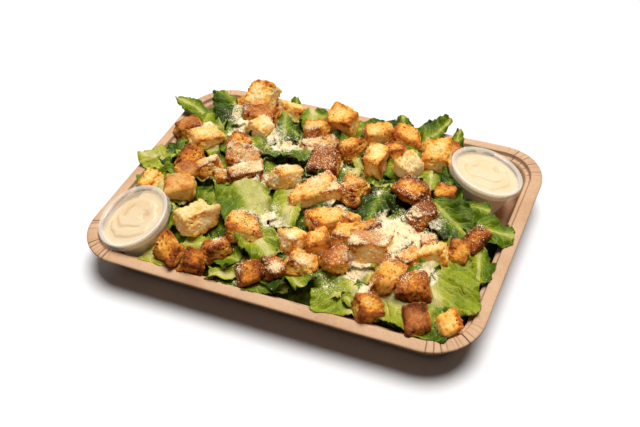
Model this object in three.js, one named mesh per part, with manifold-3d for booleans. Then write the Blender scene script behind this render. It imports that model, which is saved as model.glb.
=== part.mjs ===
// Caesar salad in a rectangular paperboard tray, with two lidded cups of dressing.
// Millimetres, +Z up. The origin is the middle of the tray's underside.
// +X runs along the long side and +Y towards the back.
import * as THREE from "three";
import { mergeVertices } from "three/addons/utils/BufferGeometryUtils.js";
import Module from "manifold-3d";

const wasm = await Module();
wasm.setup();

// ---- driving dimensions -------------------------------------------------
const TRAY_LONG = 356;
const TRAY_WIDE = 255;
const TRAY_HIGH = 36;
const TRAY_CORNER = 43;
const BOARD = 1.0;
const FLANGE = 9.5;
const FLANGE_DROOP = 1.2;
const LIP_DROP = 1.8;
const STEP_DROP = 3.2;
const LEDGE = 4.0;
const WALL_RUN = 6.0;
const FLOOR_FILLET = 6.5;
const CORNER_STEPS = 8;
const CORE_STEPS = 4;
const PLEAT = 0.22;

const CUP_BASE_R = 23.5;
const CUP_TOP_R = 31.4;
const CUP_HIGH = 31.0;
const CUP_RIM = 1.4;
const CUP_WALL = 0.8;
const LID_R = 33.5;
const LID_SKIRT = 6.0;
const LID_WALL = 0.7;
const LID_RECESS = 2.2;
const DRESSING_TOP = 28.6;
const CUP_STEPS = 24;

const GAP = 0.35;
const LEAF_THICK = 1.1;
const HEAP_RISE = 6.5;
const HEAP_EDGE = 24.0;
const FILL_COUNT = 9;
const CROUTON_SCALE = 0.92;
const CROUTON_SWAY = 26;
const CRUMB_SINK = 1.2;
const SHRED_LONG = 4.2;
const SHRED_THICK = 1.1;

// cup: middle of the lid's top ring, how far it leans and towards where
const CUPS = [
  { side: "left", x: -134, y: -86.5, z: 52.2, tilt: 18.5, towards: -137 },
  { side: "right", x: 132, y: 75, z: 47, tilt: 19.2, towards: 30 },
];

// crouton: x, y, long, wide, high, turn, lean, how square its corners are
const CROUTONS = [
  [-153, 45, 27, 20, 15, 20, -10, 0.8],
  [-126, 29, 27, 20, 15, 45, -5, 0.7],
  [-120, 1, 20, 17, 14, 10, 8, 0.8],
  [-101, -5, 20, 17, 16, 30, 0, 0.8],
  [-111, -22, 17, 12, 12, 78, 12, 0.9],
  [-93, 35, 19, 15, 11, 60, 0, 0.8],
  [-78, 16, 27, 20, 17, 15, 4, 0.6],
  [-65, -7, 26, 19, 15, 35, 0, 0.8],
  [-102, 106, 28, 21, 19, 118, -20, 0.7],
  [-98, 86, 31, 16, 13, 14, 0, 0.9],
  [-84, 63, 21, 19, 15, 70, 8, 0.8],
  [-67, 94, 17, 15, 15, 40, 0, 0.7],
  [-33, 72, 19, 17, 16, 10, 0, 0.8],
  [-13, 97, 24, 20, 22, 5, 10, 0.7],
  [23, 89, 22, 19, 18, 25, 0, 0.9],
  [-19, 58, 29, 15, 12, 44, 4, 0.8],
  [8, 62, 20, 17, 15, 65, -12, 0.8],
  [-6, 33, 31, 22, 17, 12, 6, 0.6],
  [-28, 3, 24, 19, 16, 50, 0, 0.9],
  [48, 96, 26, 20, 17, 8, -18, 0.7],
  [36, 50, 26, 17, 20, 86, 0, 0.9],
  [51, 67, 15, 13, 19, 30, 0, 0.8],
  [66, 51, 20, 18, 18, 55, 14, 0.7],
  [80, 23, 32, 19, 14, -4, 8, 0.7],
  [88, 73, 25, 20, 18, 100, 10, 0.6],
  [-150, -32, 21, 16, 12, 70, 5, 0.8],
  [-116, -47, 24, 19, 19, 32, 16, 0.8],
  [-81, -70, 29, 25, 19, 64, 7, 0.7],
  [-92, -104, 24, 19, 14, -22, 6, 0.9],
  [-61, -105, 17, 15, 13, 15, 0, 0.7],
  [-51, -91, 21, 16, 12, 40, 0, 0.8],
  [-38, -68, 25, 22, 19, 25, 5, 0.7],
  [9, -68, 19, 16, 19, 80, 0, 0.7],
  [27, -59, 20, 18, 19, 15, 12, 0.7],
  [-2, -10, 43, 19, 14, 43, 9, 0.9],
  [23, -36, 33, 20, 14, 42, 0, 0.8],
  [33, 8, 22, 19, 17, 75, 0, 0.8],
  [-15, -104, 20, 18, 14, 27, 14, 1.0],
  [5, -96, 17, 15, 14, 50, 0, 0.7],
  [26, -86, 25, 17, 15, 12, 5, 0.8],
  [45, -76, 20, 16, 13, 55, 0, 0.8],
  [47, -45, 19, 17, 14, 20, 0, 0.5],
  [75, -57, 25, 22, 24, 28, 0, 0.7],
  [97, 0, 19, 16, 14, 60, 0, 0.8],
  [125, -41, 18, 15, 16, 10, 0, 0.7],
  [140, -33, 19, 16, 18, 80, 10, 0.7],
  [144, -14, 23, 14, 11, 44, 10, 0.6],
  [97, -79, 25, 17, 18, 88, 0, 0.7],
  [114, -78, 20, 18, 17, 35, 0, 0.7],
  [89, -107, 21, 19, 18, 24, 24, 0.8],
  [129, -107, 19, 18, 16, 22, 28, 1.0],
  [150, -98, 18, 16, 16, 48, 22, 0.9],
];

// the smallest croutons, grown into the heap: the same columns
const CRUMBS = [
  [-87, -11, 11, 10, 9, 20, 0, 0.5],
  [-125, 99, 22, 12, 10, 30, 5, 0.9],
  [-50, 47, 9, 9, 8, 40, 0, 0.7],
  [1, 97, 16, 14, 14, 60, 0, 0.7],
  [91, 97, 18, 14, 11, 20, 0, 0.7],
  [107, 34, 13, 12, 10, 10, 0, 0.7],
  [-39, -108, 18, 14, 11, 70, 0, 0.8],
  [60, -31, 15, 13, 13, 35, 0, 0.6],
  [45, -30, 12, 10, 8, 0, 0, 0.6],
  [104, -51, 15, 14, 13, 50, 0, 0.6],
  [112, -27, 14, 12, 11, 15, 0, 0.7],
];

// leaf: x, y, z, long, wide, turn, rise, roll, arch, cup, ruffle, outline
// (angles in degrees; outline 0 is torn across, 1 pointed, 2 rounded)
const LEAVES = [
  [-48, -41, 52, 56, 44, -46, -4, 3, 15, 10, 0.04, 0],
  [141, -68, 44, 52, 50, -63, -13, 0, 16, -10, 0.05, 0],
  [59, -97, 39, 42, 40, -76, -8, 0, 15, 10, 0.04, 0],
  [55, -4, 53, 54, 38, -88, -3, 0, 25, -15, 0.07, 2],
  [121, 3, 49, 48, 38, -33, -8, 10, 30, 25, 0.07, 2],
  [-132, 85, 46, 50, 28, 139, 12, -10, 30, 20, 0.06, 1],
  [-18, -76, 50, 42, 32, -32, -5, 0, 20, 15, 0.08, 0],
  [152, 7, 42, 44, 34, 6, -4, 0, 26, -10, 0.08, 2],
  [-88, -106, 34, 56, 24, 2, 0, 12, 8, 15, 0.08, 0],
  [-43, 33, 52, 46, 26, 7, 2, -15, 20, 50, 0.08, 0],
  [111, -99, 40, 40, 30, -6, -6, 14, 20, 50, 0.06, 0],
  [-13, -33, 52, 44, 26, -76, -2, 0, 15, 15, 0.05, 0],
  [65, 112, 42, 58, 25, 60, 15, 16, 24, 30, 0.06, 1],
  [-148, 12, 40, 38, 30, -142, -6, 10, 20, 20, 0.1, 2],
  [-38, 84, 51, 34, 28, 121, 10, 15, 30, 20, 0.14, 2],
  [-160, 0, 40, 42, 30, 178, 8, 0, 26, -20, 0.14, 2],
  [156, -32, 38, 38, 26, -76, -4, -14, 20, 30, 0.16, 2],
  [-107, -75, 47, 32, 24, 93, 10, 0, 20, 20, 0.14, 2],
  [-162, 76, 42, 52, 22, 161, 8, 0, 16, 10, 0.1, 1],
  [88, -46, 51, 31, 20, -73, -6, 0, 20, 20, 0.05, 2],
  [104, 56, 48, 36, 17, 111, 12, 0, 15, 30, 0.05, 1],
  [136, 25, 46, 26, 22, 10, -6, 0, 30, -20, 0.12, 2],
  [-60, 66, 53, 30, 18, 110, 20, 0, 20, 30, 0.06, 1],
  [-24, -109, 33, 36, 19, -3, 0, 10, 12, 20, 0.08, 1],
  [2, -108, 35, 36, 18, 8, 3, 10, 15, 30, 0.08, 1],
  [-71, -91, 42, 26, 20, 1, 0, 6, 20, 20, 0.08, 2],
  [43, 104, 43, 34, 20, 108, 34, 0, 20, 10, 0.1, 2],
  [-38, -110, 35, 24, 16, 17, 0, 6, 10, 140, 0.02, 0],
  [95, 103, 43, 36, 15, 98, 30, 0, 26, 40, 0.1, 1],
  [92, 38, 52, 19, 14, 106, 20, 0, 20, 20, 0.05, 2],
  [-65, 101, 43, 32, 14, 112, 30, 0, 10, 30, 0.08, 1],
  [-60, -92, 43, 34, 24, 200, -6, 10, 20, 20, 0.1, 2],
  [-100, 60, 46, 34, 24, 40, 6, -8, 20, 25, 0.1, 0],
  [15, 108, 38, 36, 22, 176, 0, -14, 20, 25, 0.12, 2],
  [-40, 108, 38, 34, 20, 190, 4, -12, 20, 25, 0.12, 2],
  [110, 98, 35, 34, 20, 170, 0, -12, 20, 25, 0.12, 0],
  [-152, -8, 38, 30, 22, 96, 0, 12, 20, 25, 0.12, 2],
  [150, 40, 38, 34, 24, 100, 0, -10, 20, 25, 0.12, 2],
];

// cheese: x, y, radius of the patch, how many shreds
const CHEESE = [
  [100, -28, 32, 22],
  [-60, 0, 26, 8],
  [20, -20, 26, 8],
  [-45, 70, 22, 6],
  [70, -80, 26, 6],
  [-130, 60, 18, 4],
  [40, 25, 22, 6],
];

// ---- helpers ------------------------------------------------------------
const RAD = Math.PI / 180;

function makeRandom(seed) {
  let state = seed >>> 0;
  return function () {
    state = (Math.imul(state, 1664525) + 1013904223) >>> 0;
    return state / 4294967296;
  };
}

function makeSolid(points, faces) {
  const coords = new Float32Array(points.length * 3);
  points.forEach((p, i) => coords.set([p.x, p.y, p.z], i * 3));
  const order = new Uint32Array(faces.flat());
  const body = new wasm.Manifold(new wasm.Mesh({ numProp: 3, vertProperties: coords, triVerts: order }));
  if (body.volume() > 0) return body;
  return makeSolid(points, faces.map((f) => [f[0], f[2], f[1]]));
}

function makeMesh(body, name, colour, roughness) {
  const data = body.getMesh();
  let geometry = new THREE.BufferGeometry();
  geometry.setAttribute("position", new THREE.BufferAttribute(new Float32Array(data.vertProperties), 3));
  geometry.setIndex(new THREE.BufferAttribute(new Uint32Array(data.triVerts), 1));
  geometry = mergeVertices(geometry, 1e-4);
  const material = new THREE.MeshStandardMaterial({ color: colour, roughness, metalness: 0 });
  const mesh = new THREE.Mesh(geometry, material);
  mesh.name = name;
  return mesh;
}

// one ring round a rectangle with rounded corners, set in from the tray's edge
function cornerRing(inset, z, pleat = 0, steps = CORNER_STEPS) {
  const points = [];
  const halfLong = TRAY_LONG / 2 - inset;
  const halfWide = TRAY_WIDE / 2 - inset;
  const radius = Math.max(TRAY_CORNER - inset, 5);
  const signs = [[1, 1], [-1, 1], [-1, -1], [1, -1]];
  signs.forEach(([sx, sy], corner) => {
    for (let i = 0; i <= steps; i++) {
      const angle = (corner + i / steps) * Math.PI / 2;
      const x = sx * (halfLong - radius) + radius * Math.cos(angle);
      const y = sy * (halfWide - radius) + radius * Math.sin(angle);
      points.push(new THREE.Vector3(x, y, z + (i % 2 ? pleat : -pleat)));
    }
  });
  return points;
}

// skin a stack of rings and close both ends with a fan
function loft(rings, startPoint, endPoint) {
  const count = rings[0].length;
  const points = rings.flat();
  const faces = [];
  for (let r = 0; r + 1 < rings.length; r++) {
    for (let i = 0; i < count; i++) {
      const j = (i + 1) % count;
      const a = r * count + i;
      const b = r * count + j;
      faces.push([a, b, b + count], [a, b + count, a + count]);
    }
  }
  const first = points.push(startPoint) - 1;
  const last = points.push(endPoint) - 1;
  const top = (rings.length - 1) * count;
  for (let i = 0; i < count; i++) {
    const j = (i + 1) % count;
    faces.push([first, j, i], [last, top + i, top + j]);
  }
  return makeSolid(points, faces);
}

// turn a profile of [radius, height] round the Z axis; it starts and ends on the axis
function revolve(profile, steps) {
  const rings = profile.slice(1, -1).map(([radius, height]) => {
    const ring = [];
    for (let i = 0; i < steps; i++) {
      const angle = i / steps * Math.PI * 2;
      ring.push(new THREE.Vector3(radius * Math.cos(angle), radius * Math.sin(angle), height));
    }
    return ring;
  });
  const start = new THREE.Vector3(0, 0, profile[0][1]);
  const end = new THREE.Vector3(0, 0, profile[profile.length - 1][1]);
  return loft(rings, start, end);
}

function moved(body, matrix) {
  return body.transform(matrix.elements);
}

// ---- tray ---------------------------------------------------------------
// the board's upper side as [inset, height], from the lip to the floor
function upperSide() {
  const rim = TRAY_HIGH;
  const step = rim - STEP_DROP;
  const wallTop = FLANGE + 1 + LEDGE;
  const wallFoot = wallTop + WALL_RUN;
  return [
    [0, rim - FLANGE_DROOP - LIP_DROP],
    [0, rim - FLANGE_DROOP - 0.6],
    [0.7, rim - FLANGE_DROOP],
    [FLANGE * 0.5, rim - FLANGE_DROOP * 0.35],
    [FLANGE, rim],
    [FLANGE + 0.7, rim - 0.6],
    [FLANGE + 1, step],
    [wallTop - 0.6, step - 0.5],
    [wallTop + 0.2, step - 1.3],
    [wallFoot, BOARD + FLOOR_FILLET],
    [wallFoot + 1.6, BOARD + FLOOR_FILLET * 0.32],
    [wallFoot + FLOOR_FILLET, BOARD],
  ];
}

// move a profile square to itself by a distance, to the left of its run
function offset(profile, distance) {
  return profile.map((point, i) => {
    const before = profile[Math.max(i - 1, 0)];
    const after = profile[Math.min(i + 1, profile.length - 1)];
    const a = new THREE.Vector2(point[0] - before[0], point[1] - before[1]).normalize();
    const b = new THREE.Vector2(after[0] - point[0], after[1] - point[1]).normalize();
    const along = a.add(b).normalize();
    return [point[0] - along.y * distance, point[1] + along.x * distance];
  });
}

function traySolid(grow) {
  const upper = upperSide();
  const lower = offset(upper, -BOARD);
  lower[0] = [BOARD, upper[0][1]];
  lower[lower.length - 1][1] = 0;
  const top = grow > 0 ? offset(upper, grow) : upper;
  const under = grow > 0 ? offset(lower, -grow) : lower;
  const pleated = (profile) => profile.map(([inset, z], i) => cornerRing(inset, z, i > 1 && i < 9 ? PLEAT : 0));
  const rings = [...pleated(under).reverse(), ...pleated(top)];
  const down = under[under.length - 1][1];
  const up = top[top.length - 1][1];
  return loft(rings, new THREE.Vector3(0, 0, down), new THREE.Vector3(0, 0, up));
}

// ---- cups, lids and dressing ---------------------------------------------
function cupRadius(height) {
  return CUP_BASE_R + (CUP_TOP_R - CUP_BASE_R) * height / (CUP_HIGH - CUP_RIM);
}

function cupSolid() {
  const shoulder = CUP_HIGH - CUP_RIM;
  return revolve([
    [0, 0],
    [CUP_BASE_R - 0.8, 0],
    [CUP_BASE_R + 0.1, 0.8],
    [CUP_TOP_R, shoulder],
    [CUP_TOP_R + 1.0, shoulder + 0.6],
    [CUP_TOP_R + 1.0, CUP_HIGH],
    [CUP_TOP_R - CUP_WALL, CUP_HIGH],
    [CUP_BASE_R - CUP_WALL, CUP_WALL + 0.4],
    [0, CUP_WALL],
  ], CUP_STEPS);
}

function lidSolid() {
  const ring = CUP_HIGH + 2.0;
  const panel = ring - LID_RECESS;
  const plug = CUP_TOP_R - CUP_WALL - 0.6;
  return revolve([
    [0, panel - LID_WALL],
    [plug - 0.5, panel - LID_WALL],
    [plug, ring - LID_WALL],
    [CUP_TOP_R + 1.4, ring - LID_WALL],
    [LID_R - 0.3, ring - LID_SKIRT],
    [LID_R + 0.5, ring - LID_SKIRT],
    [LID_R, ring - 0.7],
    [LID_R - 0.6, ring],
    [plug - 0.4, ring],
    [plug - 1.3, panel],
    [0, panel],
  ], CUP_STEPS);
}

function dressingSolid() {
  const inside = (height) => cupRadius(height) - CUP_WALL - 0.45;
  return revolve([
    [0, CUP_WALL + 0.4],
    [inside(1) - 0.6, CUP_WALL + 0.75],
    [inside(DRESSING_TOP), DRESSING_TOP],
    [inside(DRESSING_TOP) * 0.5, DRESSING_TOP + 0.7],
    [0, DRESSING_TOP + 0.3],
  ], CUP_STEPS);
}

// the room a closed cup takes up, with clearance
function cupRoom(clear) {
  return revolve([
    [0, -clear],
    [CUP_BASE_R + clear, -clear],
    [cupRadius(26) + clear, 26.2],
    [LID_R + 0.7 + clear, 26.2],
    [LID_R + clear, CUP_HIGH + 2 + clear],
    [0, CUP_HIGH + 2 + clear],
  ], 20);
}

function cupMatrix(cup) {
  const lean = cup.tilt * RAD;
  const way = cup.towards * RAD;
  const axis = new THREE.Vector3(
    Math.sin(lean) * Math.cos(way),
    Math.sin(lean) * Math.sin(way),
    Math.cos(lean),
  );
  const turn = new THREE.Quaternion().setFromUnitVectors(new THREE.Vector3(0, 0, 1), axis);
  const foot = new THREE.Vector3(cup.x, cup.y, cup.z).addScaledVector(axis, -(CUP_HIGH + 2));
  return new THREE.Matrix4().compose(foot, turn, new THREE.Vector3(1, 1, 1));
}

// ---- heap -----------------------------------------------------------------
function heapHeight(x, y) {
  const across = Math.min(Math.abs(x) / (TRAY_LONG / 2 - FLANGE), 1);
  const deep = Math.min(Math.abs(y) / (TRAY_WIDE / 2 - FLANGE), 1);
  const dome = (1 - across ** 4) * (1 - deep ** 4);
  const bumps = Math.sin(x * 0.13 + 1.1) * Math.cos(y * 0.17 + 0.4) * 1.6;
  return TRAY_HIGH + HEAP_RISE * dome + bumps * dome;
}

function coreSolid() {
  const foot = [
    [FLANGE + 5 + WALL_RUN + FLOOR_FILLET + 1, BOARD + GAP],
    [FLANGE + 5 + WALL_RUN + 1.6, BOARD + FLOOR_FILLET],
    [FLANGE + 7.4, HEAP_EDGE],
  ];
  const rings = foot.map(([inset, z]) => cornerRing(inset, z, 0, CORE_STEPS));
  const tops = [
    [FLANGE + 12, 0.36],
    [FLANGE + 20, 0.66],
    [FLANGE + 40, 1],
    [FLANGE + 72, 1],
  ];
  tops.forEach(([inset, share]) => {
    const ring = cornerRing(inset, 0, 0, CORE_STEPS);
    ring.forEach((p) => {
      p.z = HEAP_EDGE + (heapHeight(p.x, p.y) - HEAP_EDGE) * share;
    });
    rings.push(ring);
  });
  const top = new THREE.Vector3(0, 0, heapHeight(0, 0));
  return loft(rings, new THREE.Vector3(0, 0, BOARD + GAP), top);
}

// ---- croutons ---------------------------------------------------------------
// a box of two cells a side, its corners drawn in and every point nudged
function croutonPoints(row, random) {
  const [x, y, long, wide, high, turn, lean, square] = row;
  const half = new THREE.Vector3(long, wide, high).multiplyScalar(CROUTON_SCALE / 2);
  const points = [];
  const numbers = new Map();
  for (let i = -1; i <= 1; i++) {
    for (let j = -1; j <= 1; j++) {
      for (let k = -1; k <= 1; k++) {
        const sides = Math.abs(i) + Math.abs(j) + Math.abs(k);
        if (sides === 0) continue;
        const draw = sides === 3 ? 0.84 + 0.13 * square : sides === 2 ? 0.93 + 0.06 * square : 1;
        const nudge = () => (random() - 0.5) * (sides === 1 ? 0.12 : 0.24);
        const p = new THREE.Vector3(i * draw + nudge(), j * draw + nudge(), k * draw + nudge());
        p.multiply(half);
        numbers.set(`${i},${j},${k}`, points.push(p) - 1);
      }
    }
  }
  const room = roomCorners(points);
  const sway = (random() - 0.5) * CROUTON_SWAY;
  const tilt = new THREE.Euler(lean * RAD, sway * RAD, turn * RAD, "ZYX");
  [...points, ...room].forEach((p) => p.applyEuler(tilt).add(new THREE.Vector3(x, y, 0)));
  return { points, room, faces: boxFaces(numbers) };
}

// the eight corners of the room that a crouton takes up, with clearance
function roomCorners(points) {
  const box = new THREE.Box3().setFromPoints(points).expandByScalar(GAP + 0.1);
  const corners = [];
  for (const x of [box.min.x, box.max.x]) {
    for (const y of [box.min.y, box.max.y]) {
      for (const z of [box.min.z, box.max.z]) corners.push(new THREE.Vector3(x, y, z));
    }
  }
  return corners;
}

// where a crouton's eight corners come in its list of points
const CORNER_ORDER = [0, 2, 6, 8, 17, 19, 23, 25];

// a solid through eight corners
function cornerBox(corners) {
  const faces = [
    [0, 1, 3], [0, 3, 2], [4, 7, 5], [4, 6, 7], [0, 5, 1], [0, 4, 5],
    [2, 3, 7], [2, 7, 6], [0, 2, 6], [0, 6, 4], [1, 5, 7], [1, 7, 3],
  ];
  return makeSolid(corners, faces);
}

function boxFaces(numbers) {
  const faces = [];
  for (let axis = 0; axis < 3; axis++) {
    for (const side of [-1, 1]) {
      for (let a = -1; a < 1; a++) {
        for (let b = -1; b < 1; b++) {
          const corner = (da, db) => {
            const key = [0, 0, 0];
            key[axis] = side;
            key[(axis + 1) % 3] = a + da;
            key[(axis + 2) % 3] = b + db;
            return numbers.get(key.join(","));
          };
          const quad = [corner(0, 0), corner(1, 0), corner(1, 1), corner(0, 1)];
          if (side < 0) quad.reverse();
          faces.push([quad[0], quad[1], quad[2]], [quad[0], quad[2], quad[3]]);
        }
      }
    }
  }
  return faces;
}

// heights over the tray in small square cells, for setting things down
const CELL = 0.8;
const CELLS_X = Math.ceil((TRAY_LONG + 20) / CELL);
const CELLS_Y = Math.ceil((TRAY_WIDE + 20) / CELL);

function cellMiddle(column, line) {
  return [(column + 0.5 - CELLS_X / 2) * CELL, (line + 0.5 - CELLS_Y / 2) * CELL];
}

// the lowest and highest point of a set of triangles over every cell they cover
function envelope(points, faces) {
  const cells = new Map();
  faces.forEach((face) => {
    const [a, b, c] = face.map((n) => points[n]);
    const area = (b.x - a.x) * (c.y - a.y) - (c.x - a.x) * (b.y - a.y);
    if (Math.abs(area) < 1e-6) return;
    const first = (low) => Math.floor(low / CELL);
    const columnFrom = first(Math.min(a.x, b.x, c.x)) + Math.floor(CELLS_X / 2);
    const columnTo = first(Math.max(a.x, b.x, c.x)) + Math.ceil(CELLS_X / 2);
    const lineFrom = first(Math.min(a.y, b.y, c.y)) + Math.floor(CELLS_Y / 2);
    const lineTo = first(Math.max(a.y, b.y, c.y)) + Math.ceil(CELLS_Y / 2);
    for (let column = columnFrom; column <= columnTo; column++) {
      for (let line = lineFrom; line <= lineTo; line++) {
        const [px, py] = cellMiddle(column, line);
        const u = ((px - a.x) * (c.y - a.y) - (c.x - a.x) * (py - a.y)) / area;
        const v = ((b.x - a.x) * (py - a.y) - (px - a.x) * (b.y - a.y)) / area;
        if (u < 0 || v < 0 || u + v > 1) continue;
        const z = a.z + u * (b.z - a.z) + v * (c.z - a.z);
        const key = column * CELLS_Y + line;
        const known = cells.get(key);
        cells.set(key, known ? [Math.min(known[0], z), Math.max(known[1], z)] : [z, z]);
      }
    }
  });
  return cells;
}

function bodyEnvelope(body) {
  const data = body.getMesh();
  const points = [];
  for (let i = 0; i < data.vertProperties.length; i += data.numProp) {
    points.push(new THREE.Vector3(...data.vertProperties.slice(i, i + 3)));
  }
  const faces = [];
  for (let i = 0; i < data.triVerts.length; i += 3) {
    faces.push([...data.triVerts.slice(i, i + 3)]);
  }
  return envelope(points, faces);
}

// raise the ground by a body's upper side, spread by a number of cells
function stamp(ground, cells, shift, lift, spread) {
  cells.forEach(([, high], key) => {
    for (let i = -spread; i <= spread; i++) {
      for (let j = -spread; j <= spread; j++) {
        const there = key + shift + i * CELLS_Y + j;
        ground[there] = Math.max(ground[there] ?? 0, high + lift);
      }
    }
  });
}

function restHeight(ground, cells, shift) {
  let lift = -Infinity;
  cells.forEach(([low], key) => {
    lift = Math.max(lift, (ground[key + shift] ?? 0) - low);
  });
  return lift + GAP;
}

// find the lowest place near the one asked for, and set the body down there
function setDown(ground, shape, reach) {
  const cells = envelope(shape.points, shape.faces);
  let best = null;
  for (let i = -reach; i <= reach; i++) {
    for (let j = -reach; j <= reach; j++) {
      const shift = i * 2 * CELLS_Y + j * 2;
      const lift = restHeight(ground, cells, shift);
      const cost = lift + Math.hypot(i, j) * 0.9;
      if (!best || cost < best.cost) best = { cost, lift, shift, i, j };
    }
  }
  const move = new THREE.Vector3(best.i * 2 * CELL, best.j * 2 * CELL, best.lift);
  [...shape.points, ...shape.room].forEach((p) => p.add(move));
  stamp(ground, cells, best.shift, best.lift, 1);
  return shape;
}

// ---- leaves -----------------------------------------------------------------
// how wide a leaf is along its run, for each outline
function leafWidth(u, outline) {
  if (outline === 0) return 0.88 + 0.12 * Math.sin(Math.PI * u);
  if (outline === 1) return Math.max(1 - Math.abs(u) ** 2.2, 0) ** 0.6 * 0.82 + 0.18;
  return Math.max(1 - (2 * u - 1) ** 2 * 0.92, 0) ** 0.5;
}

// a point of the leaf's middle surface; u runs along it and v across, both 0 to 1
function leafPoint(leaf, u, v) {
  const [, , , long, wide, , , , arch, cup, ruffle, outline] = leaf;
  const s = (u - 0.5) * long;
  const t = (v - 0.5) * wide * leafWidth(u, outline);
  const bendAlong = Math.max(arch, 0.5) * RAD / long;
  const bendAcross = (Math.abs(cup) < 0.5 ? 0.5 : cup) * RAD / wide;
  const edge = Math.abs(2 * v - 1) ** 1.5;
  const waves = Math.max(Math.round(long / 21), 1);
  const wave = Math.sin(Math.PI * 2 * waves * u + (v > 0.5 ? 2.1 : 0)) * ruffle * wide * edge;
  const x = Math.sin(s * bendAlong) / bendAlong;
  const y = Math.sin(t * bendAcross) / bendAcross;
  const sag = (1 - Math.cos(s * bendAlong)) / bendAlong;
  const rise = (1 - Math.cos(t * bendAcross)) / bendAcross;
  return new THREE.Vector3(x, y, rise - sag + wave);
}

function leafFrame(leaf) {
  const [x, y, z, , , turn, rise, roll] = leaf;
  const euler = new THREE.Euler(roll * RAD, -rise * RAD, turn * RAD, "ZYX");
  const matrix = new THREE.Matrix4().makeRotationFromEuler(euler);
  return matrix.setPosition(x, y, z);
}

// a thin wavy solid with both faces split alike
function leafSolid(leaf) {
  const columns = Math.max(Math.round(leaf[3] / 12), 2);
  const lines = Math.max(Math.round(leaf[4] / 14), 2);
  const place = leafFrame(leaf);
  const points = [];
  for (const side of [1, -1]) {
    for (let i = 0; i <= columns; i++) {
      for (let j = 0; j <= lines; j++) {
        const u = i / columns;
        const v = j / lines;
        const p = leafPoint(leaf, u, v);
        const du = leafPoint(leaf, u + 0.01, v).sub(leafPoint(leaf, u - 0.01, v));
        const dv = leafPoint(leaf, u, v + 0.01).sub(leafPoint(leaf, u, v - 0.01));
        const normal = du.cross(dv).normalize();
        points.push(p.addScaledVector(normal, side * LEAF_THICK / 2).applyMatrix4(place));
      }
    }
  }
  const across = lines + 1;
  const under = (columns + 1) * across;
  const faces = [];
  for (let i = 0; i < columns; i++) {
    for (let j = 0; j < lines; j++) {
      const a = i * across + j;
      const quad = [a, a + across, a + across + 1, a + 1];
      faces.push([quad[0], quad[1], quad[2]], [quad[0], quad[2], quad[3]]);
      const low = quad.map((n) => n + under);
      faces.push([low[0], low[2], low[1]], [low[0], low[3], low[2]]);
    }
  }
  const rim = [];
  for (let j = 0; j < lines; j++) rim.push(j);
  for (let i = 0; i < columns; i++) rim.push(i * across + lines);
  for (let j = lines; j > 0; j--) rim.push(columns * across + j);
  for (let i = columns; i > 0; i--) rim.push(i * across);
  rim.forEach((a, n) => {
    const b = rim[(n + 1) % rim.length];
    faces.push([a, b, b + under], [a, b + under, a + under]);
  });
  return makeSolid(points, faces);
}

function largest(body) {
  const parts = body.decompose();
  parts.sort((a, b) => b.volume() - a.volume());
  return parts[0];
}

function near(a, b, margin) {
  const p = a.boundingBox();
  const q = b.boundingBox();
  return [0, 1, 2].every((n) => p.min[n] - margin < q.max[n] && q.min[n] - margin < p.max[n]);
}

// what is left of a body outside everything in its way
function clearedOf(body, blocks) {
  let part = body;
  for (const block of blocks) {
    if (near(part, block, 0)) part = part.subtract(block);
    if (part.isEmpty()) return part;
  }
  return largest(part);
}

// shorten a leaf to what is clear of everything in its way, and fuse it on
function fuseLeaf(heap, leaf, blocks) {
  for (const lift of [0, -2, -4, -6, 2, -8]) {
    const placed = leaf.slice();
    placed[2] += lift;
    const whole = leafSolid(placed);
    const part = clearedOf(whole, blocks);
    if (part.volume() < whole.volume() * 0.35) continue;
    if (heap.intersect(part).volume() < 2.5) continue;
    return heap.add(part);
  }
  return heap;
}

// smaller leaves wherever the draw puts them, lying along the heap
function fillLeaves() {
  const draw = makeRandom(77);
  const leaves = [];
  for (let n = 0; n < FILL_COUNT; n++) {
    const x = (draw() - 0.5) * (TRAY_LONG - 62);
    const y = (draw() - 0.5) * (TRAY_WIDE - 54);
    const long = 36 - 14 * n / FILL_COUNT + draw() * 4;
    const wide = long * (0.6 + draw() * 0.25);
    const turn = draw() * 360;
    const rise = (draw() - 0.4) * 30;
    const roll = (draw() - 0.5) * 30;
    const z = heapHeight(x, y) + 1.5 + draw() * 3.5;
    leaves.push([x, y, z, long, wide, turn, rise, roll, 30, 25, 0.1, n % 3]);
  }
  return leaves;
}

// short straws of cheese, each sunk a little into what it lies on
function fuseCheese(heap, blocked) {
  const draw = makeRandom(5);
  const surface = bodyEnvelope(heap);
  let body = heap;
  CHEESE.forEach(([x, y, radius, count]) => {
    for (let n = 0; n < count; n++) {
      const angle = draw() * Math.PI * 2;
      const out = Math.sqrt(draw()) * radius;
      const px = x + out * Math.cos(angle);
      const py = y + out * Math.sin(angle);
      const turn = draw() * 180;
      const column = Math.floor(px / CELL + CELLS_X / 2);
      const line = Math.floor(py / CELL + CELLS_Y / 2);
      const key = column * CELLS_Y + line;
      const height = surface.get(key)?.[1] ?? 0;
      if (taken(blocked, key, height)) continue;
      const box = new THREE.BoxGeometry(SHRED_LONG, SHRED_THICK, SHRED_THICK);
      box.rotateZ(turn * RAD);
      box.translate(px, py, height + SHRED_THICK * 0.15);
      body = body.add(fromGeometry(box));
    }
  });
  return body;
}

// whether a crouton or a cup stands over or beside a cell
function taken(blocked, key, height) {
  for (let i = -4; i <= 4; i++) {
    for (let j = -4; j <= 4; j++) {
      if ((blocked[key + i * CELLS_Y + j] ?? 0) > height + 0.5) return true;
    }
  }
  return false;
}

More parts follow.
